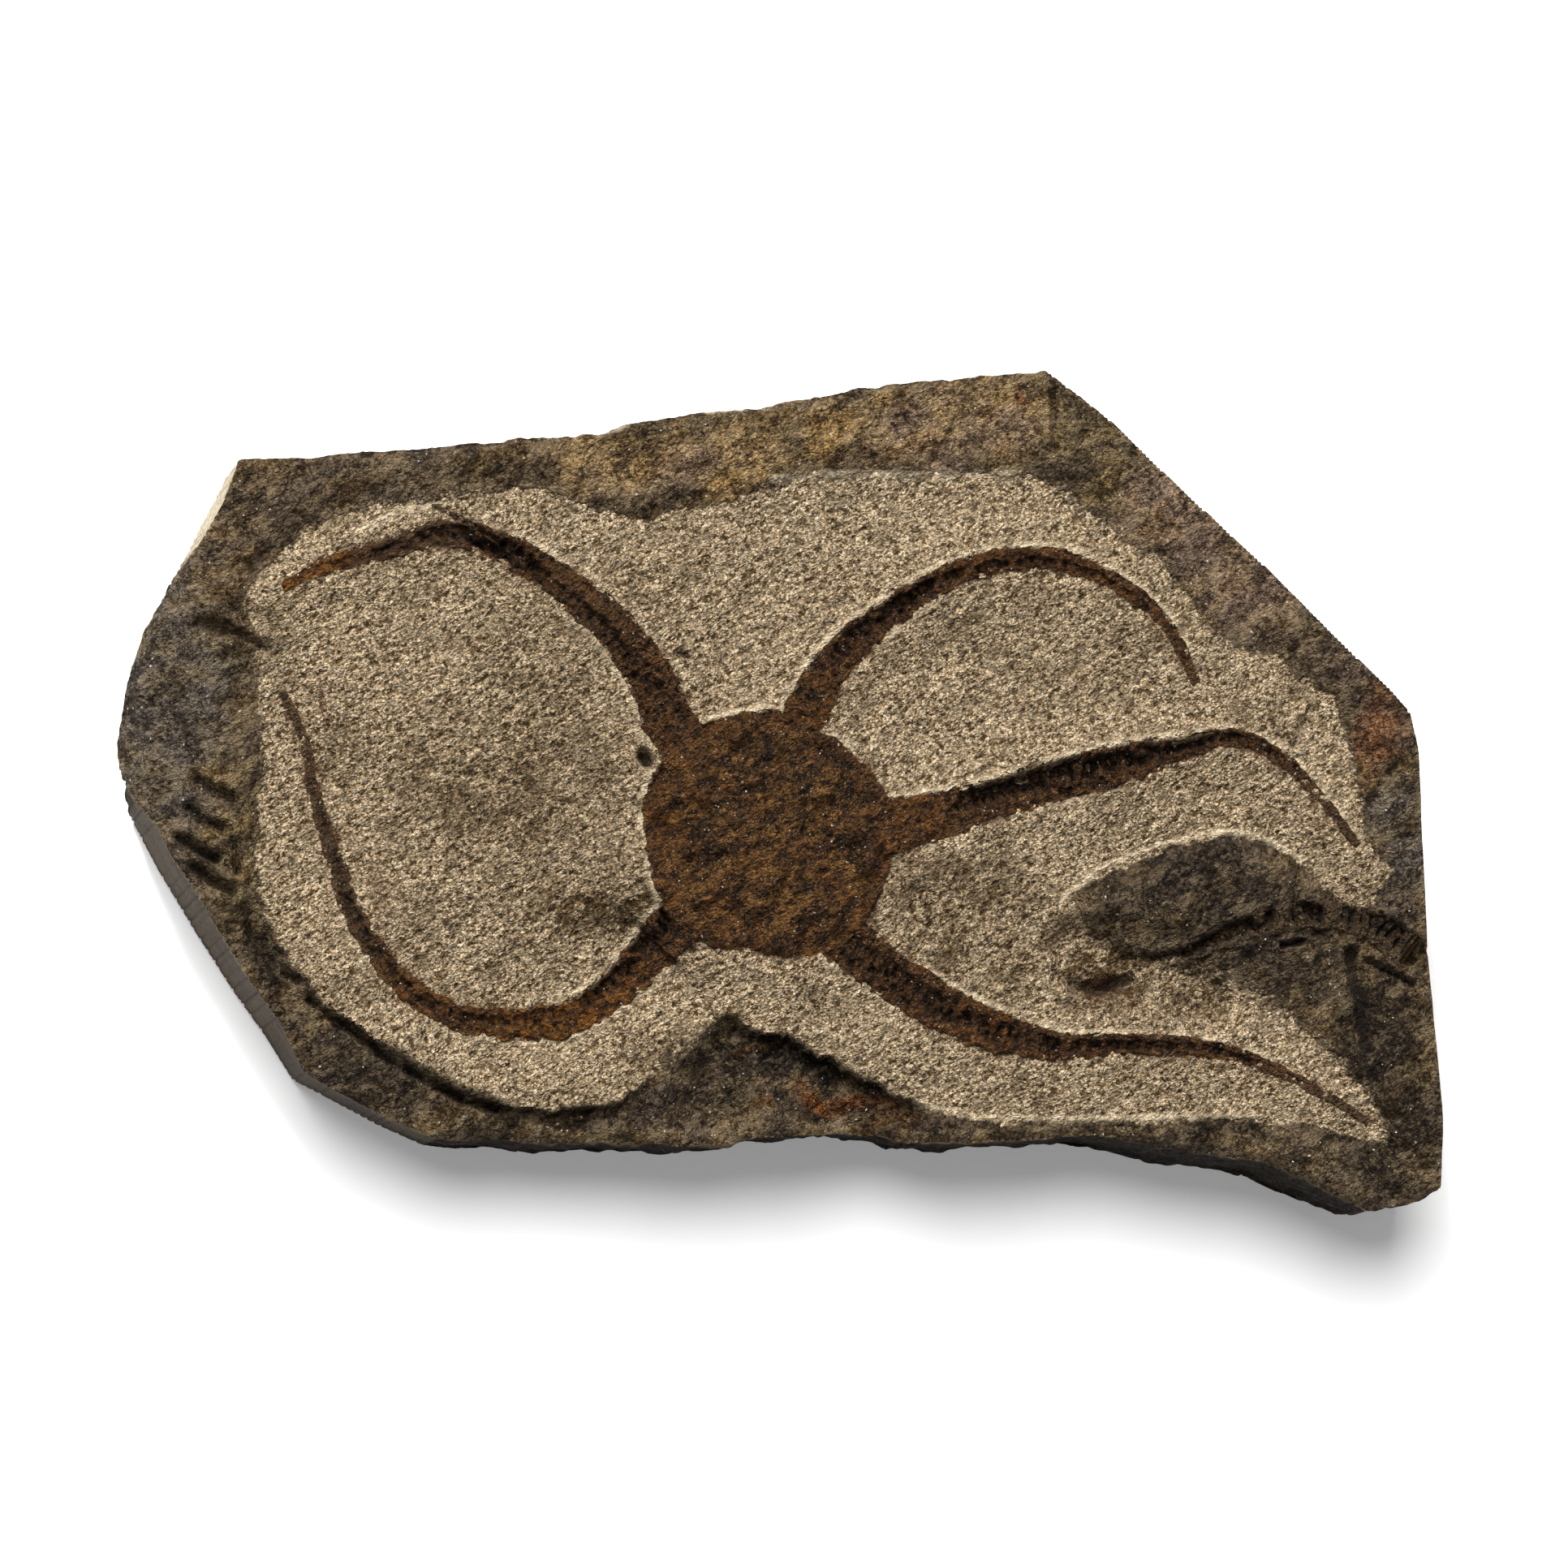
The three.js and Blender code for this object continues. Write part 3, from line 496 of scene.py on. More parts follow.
def curve_through(points, spacing, closed=False):
    """Points every `spacing` along a smooth curve (centripetal Catmull-Rom)."""
    given = np.array(points, float)
    if closed:
        given = np.vstack([given[-1:], given, given[:2]])
    else:
        given = np.vstack([2 * given[0] - given[1], given, 2 * given[-1] - given[-2]])
    dense = []
    for p0, p1, p2, p3 in zip(given, given[1:], given[2:], given[3:]):
        t1 = np.linalg.norm(p1 - p0) ** 0.5
        t2 = t1 + np.linalg.norm(p2 - p1) ** 0.5
        t3 = t2 + np.linalg.norm(p3 - p2) ** 0.5
        t = np.linspace(t1, t2, 40, endpoint=False)[:, None]
        a1 = (t1 - t) / t1 * p0 + t / t1 * p1
        a2 = (t2 - t) / (t2 - t1) * p1 + (t - t1) / (t2 - t1) * p2
        a3 = (t3 - t) / (t3 - t2) * p2 + (t - t2) / (t3 - t2) * p3
        b1 = (t2 - t) / t2 * a1 + t / t2 * a2
        b2 = (t3 - t) / (t3 - t1) * a2 + (t - t1) / (t3 - t1) * a3
        dense.append((t2 - t) / (t2 - t1) * b1 + (t - t1) / (t2 - t1) * b2)
    dense = np.vstack([*dense, given[-2:-1]])
    run = np.concatenate([[0], np.cumsum(np.hypot(*np.diff(dense[:, :2], axis=0).T))])
    wanted = np.linspace(0, run[-1], max(2, int(run[-1] / spacing) + 1))
    return np.stack([np.interp(wanted, run, column) for column in dense.T], axis=1), run[-1]


# ---- the face of the stone ------------------------------------------------------------

ARM_RUNS = {name: curve_through(arm["line"], 0.4)[0] for name, arm in ARMS.items()}
DISC_LOOP = [tuple(p) for p in curve_through(DISC_EDGE, 1.0, closed=True)[0][:-1, :2]]


def arm_field(x, y, name):
    """How far each point is outside an arm's edge (negative on the arm), its share of
    the way along, and 1 on the arm's left or -1 on its right."""
    run = ARM_RUNS[name]
    near = np.ones(x.shape, bool)
    for values, reached in ((x, run[:, 0]), (y, run[:, 1])):
        near &= (values > reached.min() - STAR_REACH) & (values < reached.max() + STAR_REACH)
    nx, ny = x[near], y[near]
    found = np.full(nx.shape, 99.0)
    index = np.zeros(nx.shape, int)
    for place, (px, py, half) in enumerate(run):
        away = np.hypot(nx - px, ny - py) - half
        index[away < found] = place
        found = np.minimum(found, away)
    forward = np.gradient(run[:, :2], axis=0)[index]
    cross = forward[:, 0] * (ny - run[index, 1]) - forward[:, 1] * (nx - run[index, 0])
    distance, share, side = np.full(x.shape, 99.0), np.zeros(x.shape), np.zeros(x.shape)
    distance[near] = found
    share[near] = index / (len(run) - 1)
    side[near] = np.sign(cross)
    return distance, share, side


def face_levels(x, y):
    """The stone's broad height, and how much of each place is crust."""
    wx, wy = warped(x, y, 0.5, 4.0, 11)
    wx, wy = wx + 0.35 * chips(x, y, 2.6, 441), wy + 0.35 * chips(x, y, 2.6, 451)
    from_cleared = loop_distance(wx, wy, CLEARED_EDGE)
    soft = np.zeros_like(x)
    for px, py, reach, extra in SOFT_BORDERS:
        soft += extra * (1 - smooth(0.35, 1, np.hypot(x - px, y - py) / reach))
    step = smooth(-0.5 * soft, CRUST_STEP + 2.5 * soft, from_cleared)
    z = CLEARED_LEVEL + CRUST_RISE * step
    for path, reach, rise, dug in SWELLS:
        share = 1 - smooth(0.3 * reach, reach, path_distance(wx, wy, path))
        edge = 1 if dug else smooth(0, 0.8, from_cleared)
        z = z + rise * share * edge
    z = z - ROLL_DROP * (np.maximum(0, ROLL_START - x) / (ROLL_START - ROLL_END)) ** 2
    crust = smooth(-0.3 - soft, 0.75 + soft, from_cleared)
    return z, crust


def stone_face(x, y, pecked=True):
    """Height of the face and the masks that its finish reads, at each point."""
    z, crust = face_levels(x, y)
    z += (0.34 + 0.14 * crust) * rough(x, y, 9.0, 2, 31)
    z += crust * 0.24 * (np.abs(rough(x, y, 7.0, 2, 351)) - 0.25)
    if pecked:
        z += (0.13 + 0.13 * crust) * rough(x, y, 3.6, 2, 41)
        flakes = 0.3 * chips(x, y, 5.5, 361) + 0.24 * chips(x, y, 2.2, 371)
        z += crust * (flakes + 0.1 * rough(x, y, 1.4, 2, 461))
        z += (1 - crust) * 0.10 * chips(x, y, 1.9, 381)
        z -= crust * 0.30 * np.abs(rough(x, y, 3.2, 3, 51))
        along = x * math.cos(PECK_SLANT) + y * math.sin(PECK_SLANT)
        across = y * math.cos(PECK_SLANT) - x * math.sin(PECK_SLANT)
        z += (0.14 - 0.06 * crust) * bumps(along / 1.4, across, 0.95, 61)

    star = loop_distance(x, y, DISC_LOOP)
    ridge = 0.8 * np.exp(-((np.maximum(star, 0) / RIDGE_REACH) ** 2))
    # Just beyond the disc's edge the stone is painted pale only on the side towards the light: painted
    # highlight.
    side_to_light = smooth(-1, 4, (y - DISC_CENTRE[1]) - 0.9 * (x - DISC_CENTRE[0]))
    rim = side_to_light * smooth(-0.3, 0.0, star) * (1 - smooth(0.3, 0.8, star))
    for name, arm in ARMS.items():
        away, share, side = arm_field(x, y, name)
        reach = np.exp(-((np.maximum(away, 0) / RIDGE_REACH) ** 2))
        ridge = np.where(np.abs(arm["ridge"] * reach) > np.abs(ridge), arm["ridge"] * reach, ridge)
        closer = away < star
        rim = np.where(closer, 0, rim)
        for rim_side, start, end, strength in arm["rim"]:
            band = between(start, end, 0.04, share) * strength * (side == rim_side) * smooth(-0.3, 0.0, away)
            rim = np.where(closer, np.maximum(rim, band * (1 - smooth(0.25, 0.75, away))), rim)
        star = np.minimum(star, away)
    z += ridge
    rim = rim * smooth(-0.7, 0.1, rough(x, y, 2.2, 2, 251))
    z += 0.25 * rim
    swirl = smooth(-0.1, 0.5, rough(x, y, 9.0, 1, 261)) * np.exp(-(((star - 2.2) / 1.3) ** 2))
    z += 0.05 * swirl * np.sin(2 * math.pi * star / 0.85) * (1 - crust)

    # The rims and crests are painted pale: partly the stone's own colour, partly painted highlight.
    pale = rim
    for path, half, rise in PALE_AND_LIT_CRESTS:
        ragged = path_distance(x, y, path) + 0.25 * rough(x, y, 1.6, 2, 271)
        band = 1 - smooth(0.4 * half, 1.8 * half, ragged)
        z += rise * band
        pale = np.maximum(pale, band)
    # How dark each gouge is painted, as shade, by its depth.
    cut = np.zeros_like(x)
    level = face_levels(x, y)[0] + ridge
    for path, width, depth in GOUGES:
        ragged = path_distance(x, y, path) + 0.2 * width * bumps(x, y, 1.1, 71)
        band = 1 - smooth(0.25 * width, width, ragged)
        lip = np.exp(-(((ragged - 1.5 * width) / (0.45 * width)) ** 2))
        z += 0.75 * band * (level - z) + 0.3 * depth * lip - depth * band
        cut = np.maximum(cut, band * min(1, depth / 1.6))
    return {"z": z, "crust": crust, "star": star, "pale": pale, "cut": cut}


def arm_shape(name, along, across, x, y, half):
    """Height of an arm off the stone's face, how dark it is painted as shade in its furrows and pits, and how
    rusty and veiled it is there.
    """
    arm = ARMS[name]
    share = along / along.max()
    keys = np.array(arm["furrow"])
    place, width, depth, rib = [np.interp(share, keys[:, 0], keys[:, i]) for i in (1, 2, 3, 4)]
    small = np.minimum(half / 1.4, 1)
    ragged = across + 0.22 * rough(x, y, 1.8, 3, 81)
    furrow = 1 - smooth(0.4, 1.15, np.abs(ragged - place) / width)
    furrow = furrow * smooth(-0.9, 0.0, rough(x, y, 2.6, 2, 281))
    body = 0.12 + 0.30 * (1 - np.clip(np.abs(across), 0, 1) ** 2) * small
    phase = along / RIB_SPACING + 0.35 * bumps(along, across * half, 2.5, 91)
    teeth = np.abs(np.sin(math.pi * phase))
    ribs = rib * (0.35 + furrow) * (np.minimum(1, 1.5 * teeth) - 0.75)
    lumps = 0.30 * rough(x, y, 1.5, 3, 101) - 0.18 * np.abs(rough(x, y, 1.0, 2, 291))
    lumps = lumps + 0.16 * chips(x, y, 1.1, 391) + 0.09 * chips(x, y, 0.55, 401)
    z = body - depth * furrow * np.minimum(1, half / 1.2) + ribs + lumps * small
    hole = np.zeros_like(x)
    for px, py, radius, deep in PITS:
        away = np.hypot(x - px, y - py) + 0.35 * radius * rough(x, y, 0.8, 2, 111)
        band = 1 - smooth(0.4 * radius, 1.1 * radius, away)
        z -= deep * band
        hole = np.maximum(hole, band)
    tints = []
    for kind in ("rust", "veil"):
        tint = np.zeros_like(x)
        for start, end, strength in arm[kind]:
            tint = np.maximum(tint, strength * between(start, end, 0.25 * (end - start), share))
        tints.append(tint)
    # How dark the arm is painted, as shade: in the furrow, between the ribs, in the low lumps and, below, in
    # the pits.
    deep = furrow * np.minimum(1.7, depth / 0.8) * (0.75 + 0.6 * (0.6 - teeth))
    deep = deep + 0.8 * smooth(-0.02, -0.4, lumps) + 0.25 * smooth(0.6, 0.1, teeth) * (rib > 0.12)
    deep = np.clip(deep * (0.75 + 0.5 * rough(x, y, 1.2, 3, 411)), 0, 1)
    return z, np.maximum(deep, hole), *tints


def disc_shape(x, y):
    """Height of the disc off the stone's face: a low dome with slanting folds."""
    cx, cy = DISC_CENTRE
    away = np.hypot(x - cx, y - cy) / 13
    dome = DISC_RISE * np.maximum(0, 1 - away * away)
    slant = x * 0.72 - y * 0.69
    climb = x * 0.69 + y * 0.72
    folds = 1.0 * bumps(slant, climb / 1.6, 3.2, 121) + 0.5 * bumps(slant, climb / 1.4, 1.5, 131)
    return 0.3 + dome + folds + 0.18 * rough(x, y, 1.0, 3, 141) + 0.14 * chips(x, y, 1.3, 431)


def arm_share(x, y):
    """0 well inside the disc and 1 outside it, where the arms' redder brown begins."""
    return smooth(-4.5, 0.5, loop_distance(x, y, DISC_LOOP))


# ---- modelling by hand ----------------------------------------------------------------


def deselect_everything():
    if bpy.context.object and bpy.context.object.mode != "OBJECT":
        bpy.ops.object.mode_set(mode="OBJECT")
    bpy.ops.object.select_all(action="DESELECT")


@contextmanager
def editing():
    """Edit mode, for as long as the block lasts."""
    bpy.ops.object.mode_set(mode="EDIT")
    yield
    bpy.ops.object.mode_set(mode="OBJECT")


def add_grid(name, columns, rows):
    """A flat grid one unit square, ready to be shaped."""
    deselect_everything()
    bpy.ops.mesh.primitive_grid_add(x_subdivisions=columns, y_subdivisions=rows, size=1)
    grid = bpy.context.object
    grid.name = name
    grid.data.name = name
    return grid


def read_points(piece):
    points = np.empty(len(piece.data.vertices) * 3)
    piece.data.vertices.foreach_get("co", points)
    return points.reshape(-1, 3)


def write_points(piece, points):
    piece.data.vertices.foreach_set("co", np.ascontiguousarray(points).ravel())
    piece.data.update()


def keep_attributes(piece, **named):
    """Stores numbers, or colours, one a vertex, for the materials to read."""
    for name, values in named.items():
        colour = np.ndim(values) == 2
        layer = piece.data.attributes.new(name, "FLOAT_COLOR" if colour else "FLOAT", "POINT")
        layer.data.foreach_set("color" if colour else "value", np.ascontiguousarray(values).ravel())


def face_corners(piece):
    """The vertex at each corner of each face, one face after another."""
    corners = np.empty(len(piece.data.loops), np.int32)
    piece.data.loops.foreach_get("vertex_index", corners)
    return corners


def trim_to_loop(piece, loop):
    """Cuts a flat grid, its points in millimetres, to an outline: outer cells go, and
    the corners of the cells that straddle the outline are drawn onto it."""
    points = read_points(piece)
    away = loop_distance(points[:, 0], points[:, 1], loop)
    corners = face_corners(piece).reshape(-1, 4)
    used = (away[corners] < 0).sum(axis=1) >= 2
    keep = np.zeros(len(points), bool)
    keep[corners[used]] = True
    outer = keep & (away > 0)
    px, py = points[outer, 0], points[outer, 1]
    best = np.full(px.shape, np.inf)
    nearest = np.zeros((len(px), 2))
    for (ax, ay), (bx, by) in zip(loop, loop[1:] + loop[:1]):
        share, distance = nearest_on(px, py, (ax, ay), (bx, by))
        closer = distance < best
        best = np.where(closer, distance, best)
        nearest[closer] = np.stack([ax + share * (bx - ax), ay + share * (by - ay)], axis=1)[closer]
    points[outer, :2] = nearest
    write_points(piece, points)
    select_faces(piece, ~used)
    with editing():
        bpy.ops.mesh.delete(type="FACE")
        bpy.ops.mesh.select_all(action="SELECT")
        bpy.ops.mesh.remove_doubles(threshold=0.01)
        bpy.ops.mesh.delete_loose()


def select_faces(piece, chosen):
    piece.data.vertices.foreach_set("select", np.zeros(len(piece.data.vertices), bool))
    piece.data.edges.foreach_set("select", np.zeros(len(piece.data.edges), bool))
    piece.data.polygons.foreach_set("select", chosen)


def extrude_border(rows):
    """Draws a sheet's open border down, one row after another, and closes it."""
    with editing():
        bpy.ops.mesh.select_mode(type="EDGE")
        bpy.ops.mesh.select_all(action="DESELECT")
        bpy.ops.mesh.select_non_manifold()
        for _ in range(rows):
            bpy.ops.mesh.extrude_region_move(TRANSFORM_OT_translate={"value": (0, 0, -1)})
        bpy.ops.mesh.edge_face_add()
        bpy.ops.mesh.select_mode(type="VERT")


def finish_piece(piece, node, materials, sharp=50):
    """Points the faces out, smooths them, and hands the piece over to the frame."""
    deselect_everything()
    piece.select_set(True)
    bpy.context.view_layer.objects.active = piece
    with editing():
        bpy.ops.mesh.select_all(action="SELECT")
        bpy.ops.mesh.normals_make_consistent(inside=False)
        bpy.ops.mesh.select_all(action="DESELECT")
    bpy.ops.object.shade_smooth_by_angle(angle=math.radians(sharp))
    for material in materials:
        piece.data.materials.append(material)
    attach(piece, "root")
    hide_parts(node)


# ---- materials ------------------------------------------------------------------------


def paint(code):
    """An sRGB hex colour as linear RGBA."""
    channels = [int(code[i:i + 2], 16) / 255 for i in (1, 3, 5)]
    linear = [c / 12.92 if c <= 0.04045 else ((c + 0.055) / 1.055) ** 2.4 for c in channels]
    return (*linear, 1.0)


def add_node(tree, kind, values=None, links=None, **settings):
    """Adds one node: its settings, its sockets' values, and the outputs they read."""
    node = tree.nodes.new(kind)
    for setting, value in settings.items():
        setattr(node, setting, value)
    for socket, value in (values or {}).items():
        node.inputs[socket].default_value = value
    for socket, source in (links or {}).items():
        tree.links.new(source, node.inputs[socket])
    return node


def new_material(name):
    """An empty material, its node tree, and the places that its patterns read."""
    material = bpy.data.materials.new(name)
    material.use_nodes = True
    tree = material.node_tree
    tree.nodes.clear()
    return material, tree, add_node(tree, "ShaderNodeTexCoord").outputs["Object"]


def grain(tree, place, size, detail=2.0, roughness=0.55, turn=0.0):
    """A noise pattern whose features are `size` (x, y, z) millimetres across, turned
    about Z. Returns its value."""
    scale = tuple(s * MM for s in size)
    mapped = add_node(
        tree, "ShaderNodeMapping", {"Rotation": (0, 0, math.radians(turn)), "Scale": scale},
        {"Vector": place}, vector_type="TEXTURE",
    )
    noise = add_node(
        tree, "ShaderNodeTexNoise", {"Scale": 1.0, "Detail": detail, "Roughness": roughness},
        {"Vector": mapped.outputs[0]},
    )
    return noise.outputs[0]


def packed_grains(tree, place, size, shake=0.15):
    """Round grains `size` millimetres across that touch: how far each point is from the
    middle of its grain, and two random values for each grain."""
    noise = add_node(
        tree, "ShaderNodeTexNoise", {"Scale": 0.7 / (size * MM), "Detail": 1.0}, {"Vector": place},
    )
    shaken = add_node(
        tree, "ShaderNodeVectorMath", {1: (8 * shake * size * MM,) * 3},
        {0: noise.outputs["Color"], 2: place}, operation="MULTIPLY_ADD",
    )
    cells = add_node(
        tree, "ShaderNodeTexVoronoi", {"Scale": 1 / (size * MM)}, {"Vector": shaken.outputs[0]},
    )
    values = add_node(tree, "ShaderNodeSeparateColor", links={0: cells.outputs["Color"]})
    return cells.outputs["Distance"], values.outputs[0], values.outputs[1]


def stretch(tree, source, low, high, new_low=0.0, new_high=1.0):
    """Spreads the values between low and high over a new range, and stops at its ends."""
    node = add_node(
        tree, "ShaderNodeMapRange", {1: low, 2: high, 3: new_low, 4: new_high}, {0: source},
        interpolation_type="SMOOTHSTEP",
    )
    return node.outputs[0]


def blend(tree, share, first, second, mode="MIX"):
    """Mixes two colours, each a hex code or an output; share is a number or an output."""
    values, links = {}, {}
    for socket, given in ((6, first), (7, second)):
        if isinstance(given, str):
            values[socket] = paint(given)
        else:
            links[socket] = given
    if isinstance(share, (int, float)):
        values[0] = share
    else:
        links[0] = share
    node = add_node(tree, "ShaderNodeMix", values, links, data_type="RGBA", blend_type=mode)
    return node.outputs[2]


def combine(tree, operation, first, second, third=None):
    """Arithmetic on two or three numbers or outputs."""
    values, links = {}, {}
    for socket, given in enumerate((first, second, third)):
        if given is None:
            continue
        if isinstance(given, (int, float)):
            values[socket] = given
        else:
            links[socket] = given
    return add_node(tree, "ShaderNodeMath", values, links, operation=operation).outputs[0]


def lay_over(tree, colour, layers):
    """Lays colours over one another. Each layer is a pattern, the values between which it
    fades in, how much of it there is at most, and its hex code; one that ends in MULTIPLY
    darkens what is below it instead of covering it."""
    for pattern, low, high, most, code, *mode in layers:
        share = stretch(tree, pattern, low, high, 0.0, most)
        over = blend(tree, 1.0, colour, code, *mode) if mode else code
        colour = blend(tree, share, colour, over)
    return colour


def pile_up(tree, height, layers):
    """Adds patterns to a height, each times its own share."""
    for pattern, share in layers:
        height = combine(tree, "MULTIPLY_ADD", pattern, share, height)
    return height


def attribute(tree, name, output="Fac"):
    return add_node(tree, "ShaderNodeAttribute", attribute_name=name).outputs[output]


def close_material(tree, colour, roughness, height, depth_mm, specular=0.12):
    """The shader, its bump, and the output."""
    bump = add_node(
        tree, "ShaderNodeBump", {"Strength": 1.0, "Distance": depth_mm * MM}, {"Height": height},
    )
    shader = add_node(
        tree, "ShaderNodeBsdfPrincipled", {"Specular IOR Level": specular},
        {"Base Color": colour, "Normal": bump.outputs[0]},
    )
    if isinstance(roughness, (int, float)):
        shader.inputs["Roughness"].default_value = roughness
    else:
        tree.links.new(roughness, shader.inputs["Roughness"])
    add_node(tree, "ShaderNodeOutputMaterial", links={0: shader.outputs[0]})


def sandstone_face():
    """Sandstone, cleared with a fine chisel down to pale grains and left with its brown
    weathered crust elsewhere. The chisel leaves short slanting pecks, bright on the side
    that meets the light; the pits between them, the crevices between the grains and the
    hollows of the clumps are painted darker as shade. The grains are drawn at 0.36 mm, a
    little coarser than the real ones, so that they show."""
    material, tree, place = new_material("sandstone_pecked_and_crusted")
    middle, tone, kind = packed_grains(tree, place, 0.36)
    pecks = grain(tree, place, (0.85, 0.6, 0.7), 3.0, 0.7, turn=35)
    grit = grain(tree, place, (0.22, 0.18, 0.2), 1.0, 0.7, turn=25)
    clumps = grain(tree, place, (3.4, 2.2, 2.5), 3.0, 0.7, turn=35)
    crumbs = grain(tree, place, (1.0, 0.8, 0.9), 4.0, 0.75, turn=30)
    drift = grain(tree, place, (6.0, 4.0, 4.0), 5.0, 0.7, turn=20)

    pale = blend(tree, stretch(tree, tone, 0.0, 1.0), "#b19c7f", "#dfc8a6")
    # Painted shade: the crevices between grains, the low pecks and the hollows of the clumps are darkened.
    pale = lay_over(tree, pale, [
        (kind, 0.86, 0.9, 0.6, "#8f887b"),
        (kind, 0.06, 0.02, 0.6, "#94714a"),
        (middle, 0.42, 0.8, 0.75, "#5f4d33"),
        (grit, 0.55, 0.38, 1.0, "#a39b8c", "MULTIPLY"),
        (pecks, 0.5, 0.38, 1.0, "#978b74", "MULTIPLY"),
        (pecks, 0.385, 0.345, 0.8, "#332a1c"),
        (clumps, 0.52, 0.64, 0.4, "#776850"),
    ])
    # Grime and painted shade on the cleared stone, heaviest in the hollows of the clumps.
    grimy = combine(tree, "MULTIPLY", attribute(tree, "grime"), stretch(tree, clumps, 0.42, 0.55, 0.3, 1.0))
    pale = blend(tree, grimy, pale, blend(tree, 1.0, pale, "#7d715b", "MULTIPLY"))

    tint = lay_over(tree, attribute(tree, "weathering", "Color"), [
        (drift, 0.5, 0.58, 1.0, "#cfcfdc", "MULTIPLY"),
        (drift, 0.49, 0.41, 1.0, "#fff4dc", "MULTIPLY"),
    ])
    # The crust's crumbs where they lie low and the crevices between its grains are darkened: painted shade.
    crust = lay_over(tree, tint, [
        (crumbs, 0.55, 0.40, 1.0, "#a89e90", "MULTIPLY"),
        (crumbs, 0.40, 0.35, 0.4, "#1c150e"),
        (middle, 0.4, 0.75, 0.7, "#8a847a", "MULTIPLY"),
        (grit, 0.55, 0.38, 1.0, "#aaa298", "MULTIPLY"),
        (tone, 0.4, 0.0, 0.5, "#8d8478", "MULTIPLY"),
    ])
    bright = stretch(tree, tone, 0.5, 1.0, 0.0, 0.4)
    crust = blend(tree, bright, crust, blend(tree, 0.3, tint, "#cfb084"))
    # Painted shade and painted highlight at the clumps' scale: darker where the clumps pattern is low,
    # lighter where it is high.
    crust = lay_over(tree, crust, [(clumps, 0.47, 0.38, 0.7, "#8a8074", "MULTIPLY")])
    clump_highlight = stretch(tree, clumps, 0.53, 0.63, 0.0, 0.35)
    crust = blend(tree, clump_highlight, crust, blend(tree, 0.4, tint, "#cfb48c"))
    glints = combine(tree, "MULTIPLY", stretch(tree, kind, 0.975, 0.98), stretch(tree, middle, 0.32, 0.16))
    crust = blend(tree, glints, crust, "#e8e2d6")

    edge = combine(tree, "ADD", attribute(tree, "crust"), combine(tree, "MULTIPLY_ADD", crumbs, 2.0, -1.0))
    bare = stretch(tree, edge, 0.3, 0.7)
    stained = combine(tree, "MULTIPLY", attribute(tree, "stain"), stretch(tree, crumbs, 0.42, 0.56, 0.4, 1.0))
    # Pale rims and crests: partly pale stone, partly painted highlight.
    light = combine(tree, "MULTIPLY", attribute(tree, "pale"), stretch(tree, tone, 0.0, 1.0, 0.4, 0.85))
    colour = blend(tree, bare, pale, crust)
    colour = blend(tree, stained, colour, "#4a2e1a")
    colour = blend(tree, light, colour, "#dcc8a6")
    # Painted shade in the gouges.
    colour = blend(tree, combine(tree, "MULTIPLY", attribute(tree, "cut"), 0.9), colour, "#1a140d")

    height = combine(tree, "MULTIPLY", middle, stretch(tree, bare, 0.0, 1.0, -0.16, -0.14))
    height = pile_up(tree, height, [
        (grit, stretch(tree, bare, 0.0, 1.0, 0.15, 0.45)), (pecks, 1.6), (clumps, -1.0),
        (combine(tree, "MULTIPLY", bare, crumbs), 2.8),
    ])
    close_material(tree, colour, 0.85, height, 1.0)
    return material


def sandstone_sawn():
    """Sawn sandstone: fine parallel lines from the blade, pale grains and dark specks."""
    material, tree, place = new_material("sandstone_sawn")
    specks = grain(tree, place, (0.5, 0.5, 0.5), 3.0, 0.6)
    clouds = grain(tree, place, (9.0, 9.0, 3.0), 2.0, 0.5)
    lines = grain(tree, place, (14.0, 14.0, 0.28), 1.0, 0.5)
    # On the walls this colour carries the wall tints' painted light and shade.
    colour = lay_over(tree, attribute(tree, "weathering", "Color"), [
        (specks, 0.62, 0.34, 1.0, "#a09b92", "MULTIPLY"),
        (clouds, 0.45, 0.6, 0.25, "#60503a"),
        (lines, 0.55, 0.4, 0.35, "#4d4335"),
    ])
    close_material(tree, colour, 0.8, pile_up(tree, lines, [(specks, 0.4)]), 0.2)
    return material


def sandstone_broken():
    """Broken sandstone, crumbly between its grains, with brown clouds from the weather."""
    material, tree, place = new_material("sandstone_broken")
    middle, tone, kind = packed_grains(tree, place, 0.4)
    crumbs = grain(tree, place, (1.2, 1.2, 0.9), 4.0, 0.7)
    clouds = grain(tree, place, (9.0, 9.0, 5.0), 4.0, 0.6)
    # On the walls this colour carries the wall tints' painted light and shade.
    colour = lay_over(tree, attribute(tree, "weathering", "Color"), [
        (crumbs, 0.56, 0.42, 1.0, "#b0a898", "MULTIPLY"),
        (tone, 0.6, 0.0, 0.8, "#a39b8c", "MULTIPLY"),
        (kind, 0.92, 0.95, 0.6, "#4a3f30"),
        (clouds, 0.47, 0.6, 0.5, "#9c8a70", "MULTIPLY"),
    ])
    close_material(tree, colour, 0.9, pile_up(tree, crumbs, [(middle, -0.16)]), 1.4)
    return material


